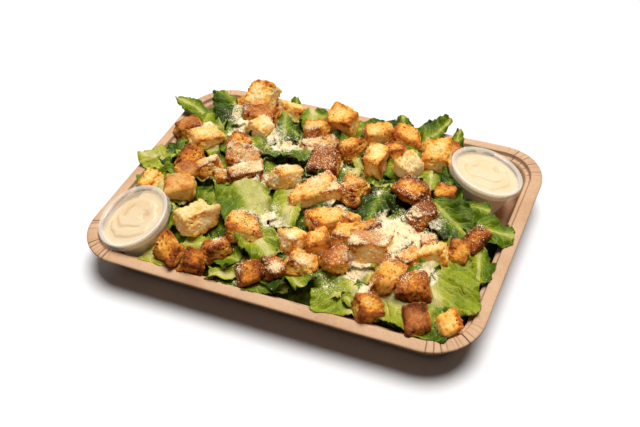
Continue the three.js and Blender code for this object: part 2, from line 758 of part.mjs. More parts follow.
function fromGeometry(geometry) {
  geometry.deleteAttribute("normal");
  geometry.deleteAttribute("uv");
  const merged = mergeVertices(geometry, 1e-4);
  const points = [];
  const spots = merged.attributes.position;
  for (let i = 0; i < spots.count; i++) points.push(new THREE.Vector3().fromBufferAttribute(spots, i));
  const faces = [];
  for (let i = 0; i < merged.index.count; i += 3) {
    faces.push([merged.index.getX(i), merged.index.getX(i + 1), merged.index.getX(i + 2)]);
  }
  return makeSolid(points, faces);
}

// ---- assembly -----------------------------------------------------------------
const salad = new THREE.Group();
salad.name = "caesar_salad_tray";

const tray = traySolid(0);
salad.add(makeMesh(tray, "tray", 0xdcb894, 0.85));

const blocks = [traySolid(GAP + 0.15)];
CUPS.forEach((cup) => {
  const place = cupMatrix(cup);
  salad.add(makeMesh(moved(cupSolid(), place), `cup_${cup.side}`, 0xf2f0e8, 0.2));
  salad.add(makeMesh(moved(lidSolid(), place), `lid_${cup.side}`, 0xf6f5f0, 0.2));
  salad.add(makeMesh(moved(dressingSolid(), place), `dressing_${cup.side}`, 0xf6e3bd, 0.5));
  blocks.push(moved(cupRoom(0.6), place));
});

let heap = coreSolid();
blocks.slice(1).forEach((room) => {
  heap = heap.subtract(room);
});
heap = largest(heap);

const ground = [];
stamp(ground, bodyEnvelope(heap), 0, 0, 0);
blocks.slice(1).forEach((room) => stamp(ground, bodyEnvelope(room), 0, 0, 1));
stamp(ground, bodyEnvelope(tray), 0, 0, 1);

const random = makeRandom(20);
const shapes = CROUTONS.map((row, n) => ({ n, size: row[2] * row[3] * row[4], ...croutonPoints(row, random) }));
const bySize = shapes.slice().sort((a, b) => b.size - a.size);
bySize.forEach((shape) => setDown(ground, shape, 3));
const croutons = shapes.map((shape) => makeSolid(shape.points, shape.faces));
croutons.forEach((body, n) => {
  const name = `crouton_${String(n + 1).padStart(2, "0")}`;
  salad.add(makeMesh(body, name, 0xd9a05a, 0.9));
  blocks.push(cornerBox(shapes[n].room));
});

const crumbs = CRUMBS.map((row) => setDown(ground, croutonPoints(row, random), 2));
crumbs.forEach((shape) => {
  const corners = CORNER_ORDER.map((n) => shape.points[n]);
  corners.forEach((p) => {
    p.z -= GAP + CRUMB_SINK;
  });
  heap = heap.add(clearedOf(cornerBox(corners), blocks));
});

LEAVES.forEach((leaf) => {
  heap = fuseLeaf(heap, leaf, blocks);
});
fillLeaves().forEach((leaf) => {
  heap = fuseLeaf(heap, leaf, blocks);
});
heap = largest(heap).simplify(0.12);
heap = fuseCheese(heap, ground);

salad.add(makeMesh(largest(heap), "salad", 0x6f8f2c, 0.6));

export default salad;
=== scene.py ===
# %% [markdown]
# # A tray of caesar salad
#
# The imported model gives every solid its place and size, in metres. It is
# loaded first, and all that follows is fitted round it. The tray, the salad,
# the croutons and the cups each get a finer piece in place of their solid.
# The box of the solids is kept, to compare it with the finished model.

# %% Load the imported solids
import math
import random
import bpy
import bmesh
from mathutils import Euler, Matrix, Vector, noise
from mathutils.bvhtree import BVHTree


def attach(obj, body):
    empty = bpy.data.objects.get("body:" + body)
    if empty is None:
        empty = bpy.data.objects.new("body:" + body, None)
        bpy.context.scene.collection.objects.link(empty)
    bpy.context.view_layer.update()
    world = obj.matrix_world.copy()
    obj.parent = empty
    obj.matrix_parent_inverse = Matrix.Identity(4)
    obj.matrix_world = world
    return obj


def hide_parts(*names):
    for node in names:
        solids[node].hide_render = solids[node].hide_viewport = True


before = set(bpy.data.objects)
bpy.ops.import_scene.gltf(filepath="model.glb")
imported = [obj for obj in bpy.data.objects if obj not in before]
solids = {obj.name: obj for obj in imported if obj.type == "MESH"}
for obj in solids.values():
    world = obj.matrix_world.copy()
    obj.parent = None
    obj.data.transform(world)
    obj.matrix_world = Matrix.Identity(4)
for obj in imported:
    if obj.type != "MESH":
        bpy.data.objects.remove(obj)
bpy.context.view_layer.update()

MM = 0.001

# %% [markdown]
# ## Camera and light
#
# The camera stands in front of the tray and a little to its right, looks down
# at about 43 degrees and is rolled a few degrees. Its three axes are worked
# out from those angles, because a camera in Blender looks along its own -Z.

# %% Camera
AZIMUTH, ELEVATION, ROLL = (math.radians(a) for a in (26.6, 42.83, -4.78))
CAMERA_PLACE = (0.2870, -0.5693, 0.6105)
SENSOR_WIDE, LENS = 36, 54.87


def put_in_scene(name, data):
    made = bpy.data.objects.new(name, data)
    bpy.context.scene.collection.objects.link(made)
    return made


camera = put_in_scene("camera", bpy.data.cameras.new("camera"))
camera.data.sensor_width = SENSOR_WIDE
camera.data.lens = LENS
bpy.context.scene.camera = camera

back = Vector((
    math.sin(AZIMUTH) * math.cos(ELEVATION),
    -math.cos(AZIMUTH) * math.cos(ELEVATION),
    math.sin(ELEVATION),
))
level = Vector((0, 0, 1)).cross(back).normalized()
upward = back.cross(level)
side = level * math.cos(ROLL) + upward * math.sin(ROLL)
top = upward * math.cos(ROLL) - level * math.sin(ROLL)
camera.matrix_world = Matrix.Translation(CAMERA_PLACE) @ Matrix(
    (side, top, back)).transposed().to_4x4()
print("camera looks along", [round(c, 3) for c in -back])

# %% [markdown]
# A food studio hangs one big soft box over the table. A sun lamp with a wide
# angle gives the same soft edge to a shadow, and lights the floor evenly as
# far as one can see, which a near area lamp doesn't. A weak area lamp from
# behind adds the glints on wet leaves, and the dim sky keeps shadows dark.

# %% Light
studio = bpy.data.worlds.new("studio")
bpy.context.scene.world = studio
studio.use_nodes = True
sky = studio.node_tree.nodes
join = studio.node_tree.links.new
either = sky.new("ShaderNodeMixShader")
bright = sky.new("ShaderNodeBackground")
for part, colour, strength in (
        (sky["Background"], (1.0, 0.985, 0.97, 1), 0.05), (bright, (1, 1, 1, 1), 1.0)):
    part.inputs["Color"].default_value = colour
    part.inputs["Strength"].default_value = strength
join(sky.new("ShaderNodeLightPath").outputs["Is Camera Ray"], either.inputs[0])
join(sky["Background"].outputs[0], either.inputs[1])
join(bright.outputs[0], either.inputs[2])
join(either.outputs[0], sky["World Output"].inputs[0])


def hang(name, kind, place, **settings):
    """Hangs a lamp at a place and aims it at the middle of the table."""
    light = bpy.data.lights.new(name, kind)
    for key, value in settings.items():
        setattr(light, key, value)
    lamp = put_in_scene(name, light)
    lamp.location = place
    lamp.rotation_euler = Vector(place).to_track_quat("Z", "Y").to_euler()


hang("soft_box", "SUN", (0.13, 0.22, 1.3),
     energy=3.45, angle=math.radians(33), color=(1.0, 0.985, 0.96))
hang("glint", "AREA", (-0.5, 0.95, 0.75),
     shape="RECTANGLE", size=0.9, size_y=0.35, energy=2.2)

bpy.context.scene.view_settings.view_transform = "Standard"
print("lamps:", [lamp.name for lamp in bpy.data.lights])

# %% [markdown]
# ## Materials as sums
#
# A procedural material is arithmetic on patterns. A small class wraps one
# socket, so that `pits * 0.4 + tone` adds the Math nodes by itself. Colours
# are mixed by Mix nodes. Every other node comes from one method, which takes
# its type, its settings and what goes into its sockets.

# %% The finish class


class Wire:
    """One socket of a finish, ready for sums."""

    def __init__(self, finish, socket):
        self.finish = finish
        self.socket = socket

    def __add__(self, other):
        return self.finish.maths("ADD", self, other)

    def __sub__(self, other):
        return self.finish.maths("SUBTRACT", self, other)

    def __rsub__(self, other):
        return self.finish.maths("SUBTRACT", other, self)

    def __mul__(self, other):
        return self.finish.maths("MULTIPLY", self, other)

    __radd__ = __add__
    __rmul__ = __mul__

    def step(self, low, high):
        """0 below low and 1 above high, with a soft ramp between."""
        return self.finish.node(
            "MapRange", {"interpolation_type": "SMOOTHSTEP"},
            {"Value": self, "From Min": low, "From Max": high})


class Finish:
    """A material that is being made."""

    def __init__(self, name):
        self.material = bpy.data.materials.new(name)
        self.material.use_nodes = True
        self.tree = self.material.node_tree
        self.tree.nodes.clear()

    def node(self, kind, settings=None, values=None, out=0):
        made = self.tree.nodes.new("ShaderNode" + kind)
        for key, value in (settings or {}).items():
            if key != "stops":
                setattr(made, key, value)
                continue
            ramp = made.color_ramp
            while len(ramp.elements) < len(value):
                ramp.elements.new(0.5)
            for stop, (place, colour) in zip(ramp.elements, value):
                stop.position = place
                stop.color = colour
        for key, value in (values or {}).items():
            if isinstance(value, Wire):
                self.tree.links.new(value.socket, made.inputs[key])
            else:
                made.inputs[key].default_value = value
        return Wire(self, made.outputs[out])

    def maths(self, operation, *terms):
        return self.node("Math", {"operation": operation}, dict(enumerate(terms)))

    def place(self):
        return self.node("TexCoord", out="Object")

    def attribute(self, name, out="Fac"):
        return self.node("Attribute", {"attribute_name": name}, out=out)

    def noise(self, where, scale, detail=2.0, roughness=0.5):
        return self.node("TexNoise", None, {
            "Vector": where, "Scale": scale, "Detail": detail, "Roughness": roughness}, "Fac")

    def cells(self, where, scale, feature="F1"):
        return self.node("TexVoronoi", {"feature": feature}, {
            "Vector": where, "Scale": scale}, "Distance")

    def ramp(self, amount, *stops):
        """Colours along a number: each stop is (place, colour), or (place, r, g, b)."""
        stops = [(stop[0], shade(*stop[1:]) if len(stop) == 4 else stop[1]) for stop in stops]
        return self.node("ValToRGB", {"stops": stops}, {"Fac": amount}, "Color")

    def mix(self, amount, first, second):
        return self.node("Mix", {"data_type": "RGBA"}, {0: amount, 6: first, 7: second}, 2)

    def bump(self, height, distance, strength):
        return self.node("Bump", None, {
            "Height": height, "Distance": distance, "Strength": strength})

    def dust(self, clump_scale, spread, low, high):
        """Where cheese dust shows, and the fine powder noise that breaks it up."""
        powder = self.noise(self.place(), 1100, 2.0, 0.7)
        clump = self.noise(self.place(), clump_scale, 2.0, 0.6)
        dust = self.attribute("cheesy") + (powder - 0.5) * spread + (clump - 0.5) * spread
        return dust.step(low, high), powder

    def surface(self, values):
        return self.node("BsdfPrincipled", None, values)

    def done(self, shader):
        out = self.tree.nodes.new("ShaderNodeOutputMaterial")
        self.tree.links.new(shader.socket, out.inputs["Surface"])
        return self.material


def shade(red, green, blue):
    """A colour as a painter reads it, 0 to 255, for a socket."""
    def linear(c):
        c = c / 255
        return c / 12.92 if c <= 0.04045 else ((c + 0.055) / 1.055) ** 2.4
    return (linear(red), linear(green), linear(blue), 1.0)


print("cream is", [round(c, 3) for c in shade(250, 230, 190)])

# %% [markdown]
# ## The table
#
# The floor is a plain pale plane. It isn't part of the object, so it rides
# on no body. The camera sees it white, but it throws back only a part of
# the light, as if a dark card lay under the tray's sides.

# %% Floor
floor_finish = Finish("pale_floor")
grain = floor_finish.noise(floor_finish.place(), 40)
floor_seen = floor_finish.node("LightPath", out="Is Camera Ray")
floor_colour = floor_finish.ramp(
    grain, (0.3, (0.92, 0.915, 0.93, 1)), (0.7, (0.94, 0.935, 0.95, 1)))
floor_finish.done(floor_finish.surface({
    "Base Color": floor_finish.mix(floor_seen, (0.30, 0.27, 0.24, 1), floor_colour),
    "Roughness": 0.8,
    "Specular IOR Level": 0.1,
}))
bm = bmesh.new()
bmesh.ops.create_grid(bm, x_segments=1, y_segments=1, size=12.0)
floor_mesh = bpy.data.meshes.new("floor")
bm.to_mesh(floor_mesh)
bm.free()
floor_mesh.materials.append(floor_finish.material)
floor = put_in_scene("floor", floor_mesh)
print("floor:", floor.dimensions[:2], "m")

# %% [markdown]
# Every piece of the object is handed over in the same way: its mesh is
# written, it gets one finish, it rides on the part's only body, and the solids
# that it stands for are hidden. A few steps that many pieces share follow:
# thickness, units, facing, smoothing and noise.

# %% Handing a piece over


def hand_over(name, bm, material, slot, *stands_for, smooth=True):
    mesh = bpy.data.meshes.new(name)
    bm.to_mesh(mesh)
    bm.free()
    mesh.materials.append(material)
    for face in mesh.polygons:
        face.use_smooth = smooth
    piece = put_in_scene(name, mesh)
    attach(piece, "root")
    if stands_for:
        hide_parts(*stands_for)
    print(name, len(mesh.polygons), "faces")
    return piece


def thicken(piece, thickness, offset=-1):
    """Gives a sheet a thickness in mm, below its top or (offset 0) to both sides."""
    sheet = piece.modifiers.new("thickness", "SOLIDIFY")
    sheet.thickness = thickness * MM
    sheet.offset = offset


def to_metres(bm):
    bmesh.ops.scale(bm, verts=bm.verts, vec=(MM, MM, MM))


def face_up(bm):
    bmesh.ops.recalc_face_normals(bm, faces=bm.faces)
    if sum(face.normal.z * face.calc_area() for face in bm.faces) < 0:
        bmesh.ops.reverse_faces(bm, faces=bm.faces)


def smooth_up(bm, verts, factor):
    """Evens out heights and leaves the other two ways alone."""
    bmesh.ops.smooth_vert(
        bm, verts=verts, factor=factor,
        use_axis_x=False, use_axis_y=False, use_axis_z=True)


def hum(q, fine, high=1.0):
    """Smooth noise at a point in mm, from about -high to high."""
    return noise.noise(q * fine) * high


# %% [markdown]
# ## The paperboard tray
#
# The real tray is pressed from one flat blank of kraft board. The straight
# sides just fold, but round each corner there is too much board, so the tool
# gathers it in radial pleats that run over the rim and down the ledge. The
# outline starts as a rectangle whose corners are bevelled round. Its edge is
# then extruded step by step along the profile of the side.

# %% Tray outline
TRAY_LONG, TRAY_WIDE, TRAY_HIGH, TRAY_CORNER = 356, 255, 36, 43
BOARD = 1.0
CORNER_CUTS = 150
PROFILE = [
    (0, 33.0), (0, 34.2), (0.7, 34.8), (2.6, 35.2), (4.75, 35.6), (7.4, 35.9),
    (9.5, 36.0), (10.2, 35.4), (10.5, 32.8), (12.4, 32.5), (13.9, 32.3),
    (14.7, 31.5), (16.6, 22.0), (18.6, 14.0), (20.5, 7.5), (22.1, 3.1),
    (24.2, 1.6), (27.0, 1.0),
]


def outline_normal(x, y):
    """Which way the nearest part of the outline faces, for a place in mm."""
    from_corner = Vector((
        max(abs(x) - (TRAY_LONG / 2 - TRAY_CORNER), 0),
        max(abs(y) - (TRAY_WIDE / 2 - TRAY_CORNER), 0),
    ))
    if from_corner.length < 1e-6:
        from_corner = Vector((0, 1)) if abs(y) > abs(x) else Vector((1, 0))
    facing = from_corner.normalized()
    return Vector((math.copysign(facing.x, x), math.copysign(facing.y, y), 0))


bm = bmesh.new()
bmesh.ops.create_grid(bm, x_segments=1, y_segments=1, size=0.5)
bmesh.ops.scale(bm, verts=bm.verts, vec=(TRAY_LONG, TRAY_WIDE, 1))
bmesh.ops.bevel(
    bm, geom=bm.verts[:], offset=TRAY_CORNER, offset_type="OFFSET",
    segments=CORNER_CUTS, profile=0.5, affect="VERTICES", material=-1)
bmesh.ops.delete(bm, geom=bm.faces[:], context="FACES_ONLY")
straight = [edge for edge in bm.edges if edge.calc_length() > 20]
bmesh.ops.subdivide_edges(bm, edges=straight, cuts=30)
bmesh.ops.translate(bm, verts=bm.verts, vec=(0, 0, PROFILE[0][1]))
print("outline:", len(bm.verts), "points")

# %% [markdown]
# A pleat is a sharp fold: a narrow valley with the board on one of its sides
# a little higher than on the other. The folds are spread unevenly round each
# corner. Painted shade darkens each valley, a few of them nearly black, and
# the step at the rim's inner edge gets painted shade too.

# %% Pleats
# The painted shade on the step at the rim's inner edge, 0 to 1
STEP_SHADE = 0.55
PLEAT_END, PLEAT_FADE = 24, 8
pleat_seed = random.Random(8)
PLEATS = []
for corner in range(4):
    angle = 3.0
    while angle < 87:
        PLEATS.append((
            corner * 90 + angle,
            pleat_seed.choice((0.3, 0.3, 0.5, 0.7, 1.0, 1.5)),
            pleat_seed.uniform(-0.2, 0.3),
            pleat_seed.uniform(-1.2, 1.2),
        ))
        angle += pleat_seed.uniform(3.8, 9.5)


def pleat(normal, inset):
    """How far the pleats lower the board and push it out, in mm, and their painted shade."""
    angle = math.degrees(math.atan2(normal.y, normal.x)) % 360
    into = angle % 90
    if into < 0.5 or into > 89.5 or inset > PLEAT_END:
        return 0.0, 0.0, 0.0
    share = min(into / 6, (90 - into) / 6, 1)
    fade = min(1.0, (PLEAT_END - inset) / PLEAT_FADE)
    if inset < 1:
        fade *= 0.75
    down = out = crease = 0.0
    for place, deep, lift, lean in PLEATS:
        away = (angle - place - lean * inset / 12) * math.radians(1) * TRAY_CORNER
        if abs(away) > 4:
            continue
        down += deep * math.exp(-(away / 0.42) ** 2)
        down -= lift * math.exp(-abs(away) / 1.6) * (1 if away > 0 else -0.6)
        out -= deep * 0.45 * math.exp(-(away / 0.5) ** 2)
        crease += (0.1 + deep) * math.exp(-(away / 0.45) ** 2)
    return down * share * fade, out * share * fade, crease * share * fade


# Each point notes its painted shade: dark in the pleats' valleys and on the step at the rim's
# inner edge
fold = bm.verts.layers.float.new("crease")
ring = bm.edges[:]
rings = [list(bm.verts)]
for inset, height in PROFILE[1:]:
    grown = bmesh.ops.extrude_edge_only(bm, edges=ring)["geom"]
    ring = [part for part in grown if isinstance(part, bmesh.types.BMEdge)]
    fresh = [part for part in grown if isinstance(part, bmesh.types.BMVert)]
    ring = [edge for edge in ring if all(v in fresh for v in edge.verts)]
    before = PROFILE[len(rings) - 1][0]
    for vert in fresh:
        facing = outline_normal(vert.co.x, vert.co.y)
        vert.co -= facing * (inset - before)
        vert.co.z = height
    rings.append(fresh)
bmesh.ops.contextual_create(bm, geom=ring)
for (inset, height), verts in zip(PROFILE, rings):
    for vert in verts:
        facing = outline_normal(*(vert.co.xy + outline_normal(*vert.co.xy).xy * inset))
        down, out, crease = pleat(facing, inset)
        # painted shade in the pleats and on the step at the rim's inner edge
        vert[fold] = max(crease, STEP_SHADE if 10 < inset < 11 else 0)
        wave = noise.noise(Vector((vert.co.x, vert.co.y, 0)) * 0.035) * 0.35
        vert.co += facing * out
        vert.co.z += (wave - down) if height > 25 else 0.0
face_up(bm)
to_metres(bm)
print("pleats:", len(PLEATS), "faces:", len(bm.faces))

# %% [markdown]
# Kraft board is unbleached pulp. Its colour is even from afar, and close up
# shows short fibres that lie every way, a few dark specks and lighter shives.
# The fibres are noise stretched two ways, and feed the colour and the bump.
# The sheet gets its thickness from a Solidify modifier.

# %% Board finish
kraft = Finish("kraft_board")
here = kraft.place()
lengthwise = kraft.node("Mapping", None, {"Vector": here, "Scale": (300, 2600, 900)})
crosswise = kraft.node("Mapping", None, {"Vector": here, "Scale": (2600, 300, 900)})
fibres = (
    kraft.noise(lengthwise, 1.0, 3.0) + kraft.noise(crosswise, 1.0, 3.0)) * 0.5
blotch = kraft.noise(here, 26, 3.0)
specks = 1 - kraft.cells(here, 420).step(0.05, 0.16)
rare = kraft.noise(here, 170, 1.0).step(0.58, 0.66)
tint = fibres * 0.6 + blotch * 0.4
board_colour = kraft.ramp(
    tint, (0.36, 196, 150, 112), (0.5, 217, 175, 137), (0.64, 230, 193, 158))
board_colour = kraft.mix(specks * rare * 0.6, board_colour, shade(120, 82, 52))
# Painted shade darkens the pleats' valleys and the step at the rim's inner edge.
board_colour = kraft.mix(
    kraft.attribute("crease").step(0.0, 0.9) * 0.75, board_colour, shade(78, 47, 29))
kraft.done(kraft.surface({
    "Base Color": board_colour,
    "Roughness": 0.62 + fibres * 0.2,
    "Specular IOR Level": 0.3,
    "Normal": kraft.bump(fibres, 0.00012, 0.5),
}))
thicken(hand_over("paperboard_tray", bm, kraft.material, "board", "tray"), BOARD)

# %% [markdown]
# ## Where the cheese lies
#
# Grated cheese was thrown on in handfuls. One table says where each landed,
# how wide and how thick. The finest dust only colours and roughens what it
# lies on, so croutons and leaves ask this map how much they carry; the
# shreds that can be told apart are real pieces, dropped on later.

# %% Handfuls of cheese
# x, y and radius in mm, and how many shreds; the last four are wide and thin
CHEESE = [
    (99, -24, 20, 900), (88, -46, 15, 520), (90, -10, 10, 210), (80, -28, 11, 260),
    (-130, 42, 10, 170), (-102, 48, 9, 130), (-79, 69, 9, 150), (-32, 59, 14, 330),
    (-97, -8, 10, 180), (-70, -4, 14, 300), (-52, -3, 9, 160), (-24, -52, 12, 180),
    (25, -9, 11, 200), (66, -74, 10, 300), (124, -63, 8, 180), (84, -94, 7, 120), (54, 13, 8, 50),
    (2, -4, 10, 80), (-32, 9, 11, 140), (7, -98, 7, 110), (26, -87, 8, 120), (10, -74, 8, 90),
    (111, -80, 8, 30), (67, -15, 7, 70), (10, 38, 8, 60), (35, 67, 8, 60), (-54, -86, 6, 50),
    (-23, -110, 6, 40), (149, -4, 14, 60), (114, -3, 12, 60), (-51, 42, 9, 130), (76, 40, 16, 120),
    (50, -95, 18, 170), (120, -70, 13, 60), (90, -60, 9, 200), (75, -38, 8, 180),
    (-118, 80, 13, 230), (-104, 64, 10, 150), (-66, 56, 11, 150), (-45, 44, 12, 150),
    (-10, 44, 10, 110), (20, -8, 6, 60), (47, -59, 7, 100), (61, -66, 7, 100), (70, -76, 8, 130),
    (84, -13, 9, 130), (-16, -50, 9, 60), (-6, -60, 9, 50), (-44, -53, 8, 90), (84, -92, 7, 110),
    (-70, 30, 52, 700), (0, 10, 60, 900), (-20, -60, 60, 400), (80, 0, 45, 400),
]
THICKEST = 1.3


def cheese_at(x, y):
    """How thickly cheese lies at a place in mm, from 0 to THICKEST."""
    q = Vector((x, y, 0))
    x += hum(q, 0.10, 5.0)
    y += noise.noise(q * 0.10 + Vector((0, 0, 7))) * 5.0
    thick = 0.0
    for cx, cy, radius, count in CHEESE:
        away = ((x - cx) ** 2 + (y - cy) ** 2) / radius ** 2
        if away < 6:
            thick += math.exp(-away * 1.3) * min(count / radius ** 2 / 1.6, 1.25)
    return min(thick, THICKEST)


print("handfuls:", len(CHEESE), "on the thickest:", round(cheese_at(99, -24), 2))

# %% [markdown]
# ## Croutons
#
# A crouton is a torn or cut cube of white bread, tossed in oil and toasted.
# Its edges and corners brown first, its cut faces are full of pores, and a few
# faces still carry the crust of the loaf. Each one here starts as a cube, cut
# into a fine grid. It is turned like its solid and pressed out onto the
# solid's faces by rays from the middle, so it keeps that solid's place and
# size. Then its corners are pulled about and it is tipped a little, because no
# two torn cubes are alike, and noise roughens it. How far a point of the first
# cube lay from an edge and from a corner says how much it toasts.

# %% What each crouton looks like
# How dark the crumb of croutons 1 to 52 is, 0 to 1, and how much cheese they carry
TONES = [
    0.60, 0.24, 0.80, 0.42, 0.36, 0.60, 0.54, 0.64, 0.20, 0.56, 0.18, 0.16, 0.48,
    0.34, 0.36, 0.48, 0.60, 0.80, 0.26, 0.42, 0.24, 0.50, 0.06, 0.78, 0.28, 0.32,
    0.40, 0.18, 0.64, 0.84, 0.66, 0.40, 0.22, 0.46, 0.30, 0.46, 0.52, 0.80, 0.84,
    0.48, 0.52, 0.40, 0.30, 0.76, 0.14, 0.60, 0.84, 0.54, 0.80, 0.54, 0.72, 0.32,
]
DUSTED = [
    0.10, 0.40, 0.10, 0.60, 0.05, 0.15, 0.60, 0.25, 0.05, 0.10, 0.40, 0.10, 0.10,
    0.05, 0.15, 0.60, 0.20, 0.10, 0.12, 0.05, 0.20, 0.10, 0.60, 0.00, 0.05, 0.00,
    0.25, 0.75, 0.05, 0.05, 0.15, 0.08, 0.20, 0.00, 0.10, 0.10, 0.30, 0.10, 0.28,
    0.35, 0.10, 0.30, 0.35, 0.08, 0.20, 0.15, 0.10, 0.30, 0.20, 0.00, 0.10, 0.00,
]
# crouton: the face that carries crust, and how much of it
CRUSTS = {
    1: ("top", 0.9), 5: ("top", 1.0), 7: ("top", 0.5), 8: ("left", 0.7), 10: ("top", 0.7),
    13: ("left", 0.8), 14: ("left", 0.4), 15: ("left", 0.9), 18: ("top", 0.8), 21: ("right", 0.9),
    27: ("top", 0.5), 31: ("top", 0.7), 37: ("top", 0.3), 38: ("left", 1.0), 39: ("top", 0.3),
    40: ("right", 0.8), 41: ("top", 0.8), 43: ("top", 1.0), 44: ("top", 1.0), 48: ("right", 0.4),
    51: ("top", 1.0),
}
BREAD = [
    (tone, *CRUSTS.get(number, ("none", 0.0)), dust)
    for number, (tone, dust) in enumerate(zip(TONES, DUSTED), 1)]
FACES = {
    "top": Vector((0, 0, 1)),
    "left": Vector((-0.45, -0.9, 0)).normalized(),
    "right": Vector((0.95, -0.3, 0)).normalized(),
}
print("croutons listed:", len(BREAD))

# %% How a solid is turned


def turn_of(points):
    """The turn about Z at which the points fill the smallest rectangle."""
    best = None
    for degree in range(0, 90, 2):
        turned = Matrix.Rotation(-math.radians(degree), 2)
        flat = [turned @ p.xy for p in points]
        long = max(p.x for p in flat) - min(p.x for p in flat)
        wide = max(p.y for p in flat) - min(p.y for p in flat)
        if best is None or long * wide < best[0]:
            best = (long * wide, degree)
    return best[1]


def axes_of(solid):
    """The three ways that a leaning box's faces look, as the columns of a matrix."""
    turn = Matrix.Rotation(math.radians(turn_of([v.co for v in solid.data.vertices])), 3, "Z")
    axes = [turn.col[n].copy() for n in range(3)]
    for _ in range(6):
        sums = [Vector(), Vector(), Vector()]
        for face in solid.data.polygons:
            along = [face.normal.dot(axis) for axis in axes]
            best = max(range(3), key=lambda n: abs(along[n]))
            sums[best] += face.normal * math.copysign(face.area, along[best])
        axes = [total.normalized() for total in sums]
    z = axes[2]
    x = (axes[0] - z * axes[0].dot(z)).normalized()
    return Matrix((x, z.cross(x), z)).transposed()


def soft_step(low, high, value):
    """0 below low and 1 above high, with a soft ramp between."""
    share = min(max((value - low) / (high - low), 0.0), 1.0)
    return share * share * (3 - 2 * share)


# %% [markdown]
# Bread that lies against the tray is stopped by the board. Growing and tearing
# could push a corner through it, so each point is held against the slope of
# the wall, and any that would be outside is moved back in.

# %% How the tray holds a crouton
# height, and how far inside the outline the tray's wall is there
WALL = [(1.0, 28.0), (3.1, 23.0), (7.5, 21.4), (14.0, 19.5), (22.0, 17.5), (31.5, 15.6),
        (33.0, 14.6)]
LEDGE_HIGH, LEDGE_END, FLANGE_END = 33.0, 15.0, 11.0


def inset_at(x, y):
    """How far a place is inside the tray's outline, in mm."""
    to_x = abs(x) - (TRAY_LONG / 2 - TRAY_CORNER)
    to_y = abs(y) - (TRAY_WIDE / 2 - TRAY_CORNER)
    if to_x > 0 and to_y > 0:
        return TRAY_CORNER - math.hypot(to_x, to_y)
    return min(TRAY_LONG / 2 - abs(x), TRAY_WIDE / 2 - abs(y))


def between(table, value):
    """Reads a table of (at, gives) with straight lines between its rows."""
    for (a, low), (b, high) in zip(table, table[1:]):
        if value <= b:
            return low + (high - low) * max(value - a, 0) / (b - a)
    return table[-1][1]


def inside_tray(p):
    """Moves a point (mm) off the tray's wall, its ledge and its rim."""
    inset = inset_at(p.x, p.y)
    if p.z < LEDGE_HIGH:
        short = between(WALL, p.z) + 0.4 - inset
        if short > 0:
            return p - outline_normal(p.x, p.y) * short
    elif inset < LEDGE_END:
        floor_high = (TRAY_HIGH if inset < FLANGE_END else LEDGE_HIGH) + 0.6
        return Vector((p.x, p.y, max(p.z, floor_high)))
    return p


# %% One crouton
GROW = 1.5
TORN, TIPPED = 0.18, 8.0
FEWEST_CUTS, MOST_CUTS, CUT_EVERY = 18, 32, 0.85


def toast(bm, look, seed, unit, size, axes, grain=1.0):
    """Rounds and roughens a fine cube, and notes what its finish needs."""
    tone, crust_side, crust, dust = look
    shift = Vector((seed * 3.7, seed * 1.3, seed * 2.1))
    corner, pit, rind, cheesy, level = (
        bm.verts.layers.float.new(name) for name in ("corner", "pit", "rind", "cheesy", "tone"))
    from_edge = []
    for vert in bm.verts:
        to_faces = sorted((0.5 - abs(a)) * side / MM for a, side in zip(unit[vert.index], size))
        from_edge.append(to_faces[1:])
    bmesh.ops.smooth_vert(
        bm, verts=bm.verts, factor=0.3,
        use_axis_x=True, use_axis_y=True, use_axis_z=True)
    bmesh.ops.recalc_face_normals(bm, faces=bm.faces)
    bm.normal_update()
    way = FACES.get(crust_side)
    if way is not None:
        sides = [axis * sign for axis in axes.col for sign in (-1, 1)]
        way = max(sides, key=lambda side: side.dot(way))
    moves = []
    for vert in bm.verts:
        p = vert.co / MM
        q = p + shift
        to_edge, to_corner = from_edge[vert.index]
        wander = hum(q, 0.22, 1.1)
        near_edge = math.exp(-max(to_edge + wander, 0) / 2.8) + 0.4 * math.exp(-to_corner / 4)
        near_edge *= 0.45 + 0.75 * soft_step(-0.25, 0.25, noise.noise(q * 0.07 + shift))
        bark = 0.0
        if way is not None:
            bark = soft_step(0.62, 0.86, vert.normal.dot(way) + hum(q, 0.12, 0.18)) * crust
        lump = hum(q, 0.085, 1.1) + hum(q, 0.21, 0.8)
        fine = hum(q, 0.52, 0.8) + hum(q, 0.95, 0.5)
        fine += (0.22 - abs(noise.noise(q * 0.30 - shift))) * 1.5
        hole = 1 - soft_step(0.14, 0.42, noise.voronoi(q * 0.31)[0][0])
        hole *= soft_step(-0.25, 0.15, noise.noise(q * 0.11 + shift)) * (1 - bark)
        moves.append(vert.normal * MM * grain * (
            lump + GROW + fine * (1 - bark * 0.55) - hole * 1.9))
        facing = soft_step(0.25, 0.85, vert.normal.z)
        patch = soft_step(-0.35, 0.3, noise.noise(q * 0.16 - shift))
        caught = soft_step(0.3, 1.0, near_edge) * 0.30 * (0.4 + dust)
        lies = max(dust * (0.25 + patch * 0.6), cheese_at(p.x, p.y) * 0.7)
        vert[corner] = min(near_edge, 1.3)
        # the pore's depth, which the finish turns into painted shade in the pore
        vert[pit] = hole
        vert[rind] = bark
        vert[cheesy] = facing * (lies + caught)
        vert[level] = tone
    for vert, move in zip(bm.verts, moves):
        vert.co = inside_tray((vert.co + move) / MM) * MM


def fine_cube(cuts):
    """A unit cube with finely cut faces, and where its points were at first."""
    bm = bmesh.new()
    bmesh.ops.create_cube(bm, size=1.0)
    bmesh.ops.subdivide_edges(bm, edges=bm.edges, cuts=cuts, use_grid_fill=True)
    bm.verts.index_update()
    return bm, [vert.co.copy() for vert in bm.verts]


